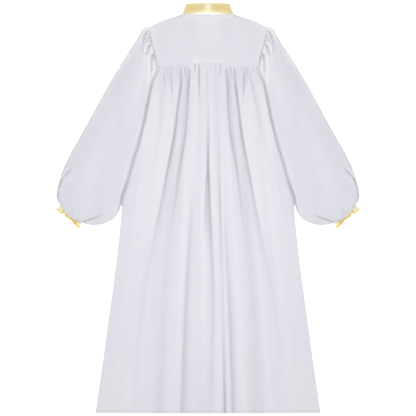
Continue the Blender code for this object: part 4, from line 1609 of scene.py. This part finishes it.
@dataclass
class Cuff:
    """Elastic cuff of satin: a short tube, narrow at its waist and flared in two lobes."""

    cut: RobeCut
    sleeve: Sleeve
    rows: int = 26
    crowding: float = 0.6
    relief_scale: Scale = (4, 0.8)
    relief_limits: Pair = (-1.0, 0.8)
    flare: float = 5.0
    gap: float = 0.4
    pleats: float = 7.0
    pleat_depth: float = 1.8
    pleat_drift: Pair = (1.7, 9.0)
    pleat_swell: Pair = (0.6, 0.4)
    pleat_power: float = 0.5
    low_pleat: float = 0.4
    waist: float = 0.25
    edge_height: float = 2.0
    past_head: float = 700.0
    # Painted shade and light of the satin's colour: the tone is painted shade over the whole layer,
    # the fold shade painted shade in the lower lobe and the tip glow painted highlights at both
    # tips.
    tone: float = 0.3
    fold_shade: float = 0.6
    fold_place: float = 0.73
    fold_half: float = 0.17
    tip_glow: float = 1.2
    near_tip: Pair = (0.05, -0.03)
    near_slant: float = 0.17
    far_tip: float = 0.95
    far_half: float = 0.05
    far_run: Pair = (0.8, 0.5)

    def relief(self, top: Array, place: Array, share: Array) -> Array:
        """Relief of the upper layer, with painted shade in the lower lobe and painted highlights at
        both tips.

        Args:
            top: Heights there.
            place: Places across.
            share: Shares of the way from the seam to the rim.

        Returns:
            The relief.
        """
        shown = np.clip(relief_of(top, *self.relief_scale), *self.relief_limits)
        # Painted shade in the lower lobe and over the whole layer, painted highlights at both tips.
        folded = self.fold_shade * bell(place - self.fold_place, self.fold_half)
        near = smoothstep(*self.near_tip, place - self.near_slant * (1.0 - share))
        far = bell(place - self.far_tip, self.far_half) * smoothstep(*self.far_run, share)
        return shown * (1.0 - folded) - self.tone - folded + self.tip_glow * np.maximum(near, far)

    def build(self, wardrobe: Wardrobe) -> None:
        """Make the cuff from the sleeve's last ring to its rim.

        Each row goes on from the seam towards the hand. The height grows to the rim's own, and
        pleats are a sine across the cuff.

        Args:
            wardrobe: Dresses the piece.
        """
        cut, sleeve, seam = self.cut, self.sleeve, SLEEVE_RINGS[-1]
        last, zero = np.full((1, 1), len(SLEEVE_RINGS) - 1.0), np.zeros((1, 1))
        top_share = spaced(sleeve.top_columns, self.crowding)[None, :]
        low_share = spaced(sleeve.low_columns, sleeve.low_crowding)[None, ::-1][:, 1:-1]
        place = np.concatenate((top_share, low_share), axis=1)
        top = sleeve.top_height(last, top_share, zero + self.past_head, zero)
        seam_height = np.concatenate((top, np.zeros(low_share.shape)), axis=1)
        upper = np.arange(place.size) < top_share.size

        run_out, run_down = seam.out_b - seam.out_a, seam.down_b - seam.down_a
        length = math.hypot(run_out, run_down)
        share = np.linspace(0.0, 1.0, self.rows)[:, None]
        places = [rim.place for rim in CUFF_RIM]
        reach = curve_through(places, [rim.reach for rim in CUFF_RIM], place)
        loft = curve_through(places, [rim.loft for rim in CUFF_RIM], place)
        bulge = seam.bow * 4.0 * place * (1.0 - place)
        away = bulge + self.gap + (reach - bulge - self.gap) * share
        forward = place * length + (place - 0.5) * 2.0 * self.flare * share
        out = seam.out_a + (run_out * forward + run_down * away) / length
        down = seam.down_a + (run_down * forward - run_out * away) / length

        (drift, drift_turn), (swell, least) = self.pleat_drift, self.pleat_swell
        turn = place * self.pleats * 2.0 * math.pi + drift * np.sin(place * drift_turn)
        body = np.sin(math.pi * share) * swell + least
        pleat = self.pleat_depth * np.sin(turn) * body
        pleat = pleat * np.sin(math.pi * place) ** self.pleat_power
        growth = 1.0 + (loft / seam.loft - 1.0) * share
        growth = growth * (1.0 - self.waist * np.sin(math.pi * share))
        top = np.maximum(seam_height * growth + pleat, self.edge_height)
        edge = np.minimum(place, 1.0 - place) * length / sleeve.low_edge_reach
        low_lift = np.clip(1.0 - edge, 0.0, 1.0) ** 2
        low = self.edge_height * low_lift + self.low_pleat * np.abs(pleat) * (1.0 - low_lift)
        z = np.where(upper, top, low)
        outer = cut.points(sleeve.side.value * out, down, z)
        shown = self.relief(z[:, :top_share.size], top_share, share)
        relief = np.concatenate((shown, np.zeros((self.rows, low_share.size))), axis=1)
        shell = Shell(outer, sleeve.inside(outer), relief, closed=True)
        name = f"{sleeve.side.word}_cuff"
        cuff = wardrobe.sew(shell, f"{name}_satin", GOLD_SATIN)
        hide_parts(name)


@dataclass
class Collar:
    """Stand collar: a satin band arched over the back neck, flat in front and open there."""

    cut: RobeCut
    rows: int = 26
    back_columns: int = 121
    front_columns: int = 41
    front_crowding: float = 1.3
    lean: float = 7.0
    crest_half: float = 0.2
    base_roll: float = 0.22
    base_pinch: float = 0.8
    pinch_half: float = 0.05
    end_power: int = 6
    relief_scale: Scale = (6, 4.0)
    relief_limits: Pair = (-0.6, 0.2)
    # Painted highlight of the satin: a pillar at the centre back, spreading along the base, with a
    # pale line at the base.
    shining_above: float = 3.0
    side_room: float = 1.3
    pillar_half: float = 8.0
    pillar_flare: float = 5.0
    flare_start: Pair = (0.6, 1.0)
    pillar_power: int = 3
    spread: Pair = (150.0, 0.11)
    base_loss: Pair = (0.25, 0.12)
    base_line: Pair = (0.75, 0.1)
    base_glow: Pair = (0.12, 0.5)
    stitch_pitch: float = 2.8
    stitch_length: float = 2.0
    stitch_row: int = 2
    stitch_end: int = 6

    def places(self, share: Array) -> tuple[Array, Array, Array]:
        """Places of the band's outer side: down one front, over the back and down the other.

        The back arch is a flattened half oval. Its sides lean away from a crest at the centre
        back, and its base is drawn in at the seam.

        Args:
            share: Shares of the way from the base to the top edge.

        Returns:
            X, down and height, rows by columns.
        """
        cut = self.cut
        half = cut.collar_base_half + (cut.collar_top_half - cut.collar_base_half) * share
        arch = cut.collar_arch + (cut.collar_top_arch - cut.collar_arch) * share
        across = np.sin(np.linspace(-1.0, 1.0, self.back_columns)[None, :] * math.pi / 2.0)
        lean = smoothstep(self.base_roll, 1.0, share) * (1.0 - bell(across, self.crest_half))
        rise = cut.cloth - self.base_pinch * bell(share, self.pinch_half) - self.lean * lean
        z_back = cut.neck_arch(half * across, half, arch) + rise * (1.0 - across ** self.end_power)
        z_back[:, [0, -1]] = cut.shoulder_edge / 2.0
        dip = cut.collar_dip * (1.0 - across ** 2) * share
        base = cut.neck_edge(across * cut.collar_base_half) - cut.seam_gap
        back_down = base - cut.collar_height * share - dip

        front = np.linspace(0.0, 1.0, self.front_columns)[None, 1:] ** self.front_crowding
        x_front = half - (half - cut.front_opening) * front
        drop = cut.front_neck_drop * np.sqrt(np.clip(1.0 - (x_front / half) ** 2, 0.0, 1.0))
        front_down = cut.collar_height * (1.0 - share) + drop
        flat = np.zeros(x_front.shape)
        return tuple(np.concatenate((left[:, ::-1], back, right), axis=1) for left, back, right in (
            (-x_front, half * across, x_front), (front_down, back_down, front_down),
            (flat, z_back, flat)))

    def shine(self, x: Array, share: Array) -> Array:
        """Painted highlight of the satin: a pillar at the centre back that spreads along the base.

        The spread, the loss and the glow are each an amount that dies away exponentially over a
        share of the height.

        Args:
            x: Places across.
            share: Shares of the way from the base to the top edge.

        Returns:
            The tone.
        """
        spread, loss, glow = (amount * np.exp(-share / run) for amount, run in (
            self.spread, self.base_loss, self.base_glow))
        lit = self.pillar_half + self.pillar_flare * smoothstep(*self.flare_start, share) + spread
        pillar = np.exp(-(np.abs(x) / lit) ** self.pillar_power) * (1.0 - loss)
        line, line_half = self.base_line
        return np.maximum(pillar, line * bell(share, line_half)) + glow

    def build(self, wardrobe: Wardrobe) -> None:
        """Make the collar, row by row from its base to its top edge, and its stitches.

        Args:
            wardrobe: Dresses the pieces.
        """
        share = np.linspace(0.0, 1.0, self.rows)[:, None]
        x, down, z = self.places(share)
        outer = self.cut.points(x, down, z)
        normal = -surface_normals(outer)
        relief = np.clip(relief_of(z, *self.relief_scale), *self.relief_limits)
        # Painted highlight on the arched back, where the band stands above its flat fronts.
        relief = relief + self.shine(x, share) * (z > self.shining_above)
        shell = Shell(outer, self.inside(outer, normal), relief)
        collar = wardrobe.sew(shell, "collar_satin", GOLD_SATIN)
        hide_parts("collar")

        ends = self.front_columns - 1 + self.stitch_end
        seam = self.stitch_row, slice(ends, -ends)
        stitching = Stitching(pitch=self.stitch_pitch, length=self.stitch_length)
        stitches = stitching.build("collar_stitches", [(outer[seam], normal[seam])])
        wardrobe.dress(stitches, GOLD_THREAD)

    def inside(self, outer: Array, normal: Array) -> Array:
        """Points of the band's inner side, a cloth's thickness in from the arch's outer side.

        Args:
            outer: Outer points.
            normal: Normals there. The rows go up, so they are turned about.

        Returns:
            The inner points.
        """
        cut, front = self.cut, self.front_columns - 1
        back = slice(front, -front)
        limit = np.abs(outer[:, front, 0])[:, None] - self.side_room * cut.cloth
        inner = outer + UP * cut.cloth
        x, _, z = np.moveaxis(outer[:, back] - normal[:, back] * cut.cloth, -1, 0)
        inner[:, back, 0] = np.clip(x, -limit, limit)
        inner[:, back, 1] = outer[:, back, 1]
        inner[:, back, 2] = np.maximum(z, cut.shoulder_edge / 2.0)
        return inner


@dataclass
class Studio:
    """The pale floor, the soft overhead light and the camera above the robe."""

    picture_pixels: float = 416.0
    mm_per_pixel: float = 3.45
    lens: float = 200.0
    sensor: float = 36.0
    focus_height: float = 0.003
    floor_size: float = 12.0
    floor_gap: float = 0.0004
    floor_tone: Colour = (0.72, 0.72, 0.72)
    floor_glow: float = 0.58
    ambient: float = 0.30
    lamp_power: float = 53.5
    lamp_height: float = 2.4
    lamp_width: float = 1.5
    lamp_length: float = 1.8

    def make_floor(self) -> None:
        """Lay a wide pale floor just under the robe."""
        bpy.ops.mesh.primitive_plane_add(size=self.floor_size, location=-UP * self.floor_gap)
        floor = bpy.context.object
        floor.name = "studio_floor"
        material = bpy.data.materials.new("studio_floor_paint")
        material.use_nodes = True
        tree = material.node_tree
        Shade(tree).put(tree.nodes["Principled BSDF"], Base_Color=(*self.floor_tone, 1.0),
                        Roughness=0.9, Emission_Color=(1.0, 1.0, 1.0, 1.0),
                        Emission_Strength=self.floor_glow)
        floor.data.materials.append(material)

    def make_lights(self) -> None:
        """Light the robe from straight above, softly, in a pale room."""
        world = bpy.data.worlds.new("pale_room")
        world.use_nodes = True
        Shade(world.node_tree).put(world.node_tree.nodes["Background"],
                                   Color=(1.0, 1.0, 1.0, 1.0), Strength=self.ambient)
        bpy.context.scene.world = world
        light = bpy.data.lights.new("overhead_light", "AREA")
        light.energy = self.lamp_power
        light.shape = "RECTANGLE"
        light.size = self.lamp_width
        light.size_y = self.lamp_length
        lamp = bpy.data.objects.new("overhead_light", light)
        lamp.location = UP * self.lamp_height
        bpy.context.scene.collection.objects.link(lamp)

    def make_camera(self) -> None:
        """Set the camera straight above the robe, as far off as the photograph's scale says."""
        data = bpy.data.cameras.new("camera")
        data.lens = self.lens
        data.sensor_width = self.sensor
        camera = bpy.data.objects.new("camera", data)
        covered = self.picture_pixels * self.mm_per_pixel * MM
        camera.location = UP * (covered * self.lens / self.sensor + self.focus_height)
        bpy.context.scene.collection.objects.link(camera)
        bpy.context.scene.camera = camera
        bpy.context.scene.view_settings.view_transform = "Standard"

    def build(self) -> None:
        """Make the floor, the lights and the camera."""
        for make in (self.make_floor, self.make_lights, self.make_camera):
            make()


def main() -> None:
    """Build the robe's pieces, then the studio round them."""
    logging.basicConfig(level=logging.INFO, format="%(name)s: %(message)s")
    cut = RobeCut()
    wardrobe = Wardrobe()
    for side in Side:
        Front(cut, side).build(wardrobe)
    for piece in (BackSkirt(cut), BackYoke(cut), Collar(cut)):
        piece.build(wardrobe)
    for side in Side:
        sleeve = Sleeve(cut, side)
        sleeve.build(wardrobe)
        Cuff(cut, sleeve).build(wardrobe)
    Studio().build()


if __name__ == "__main__":
    main()
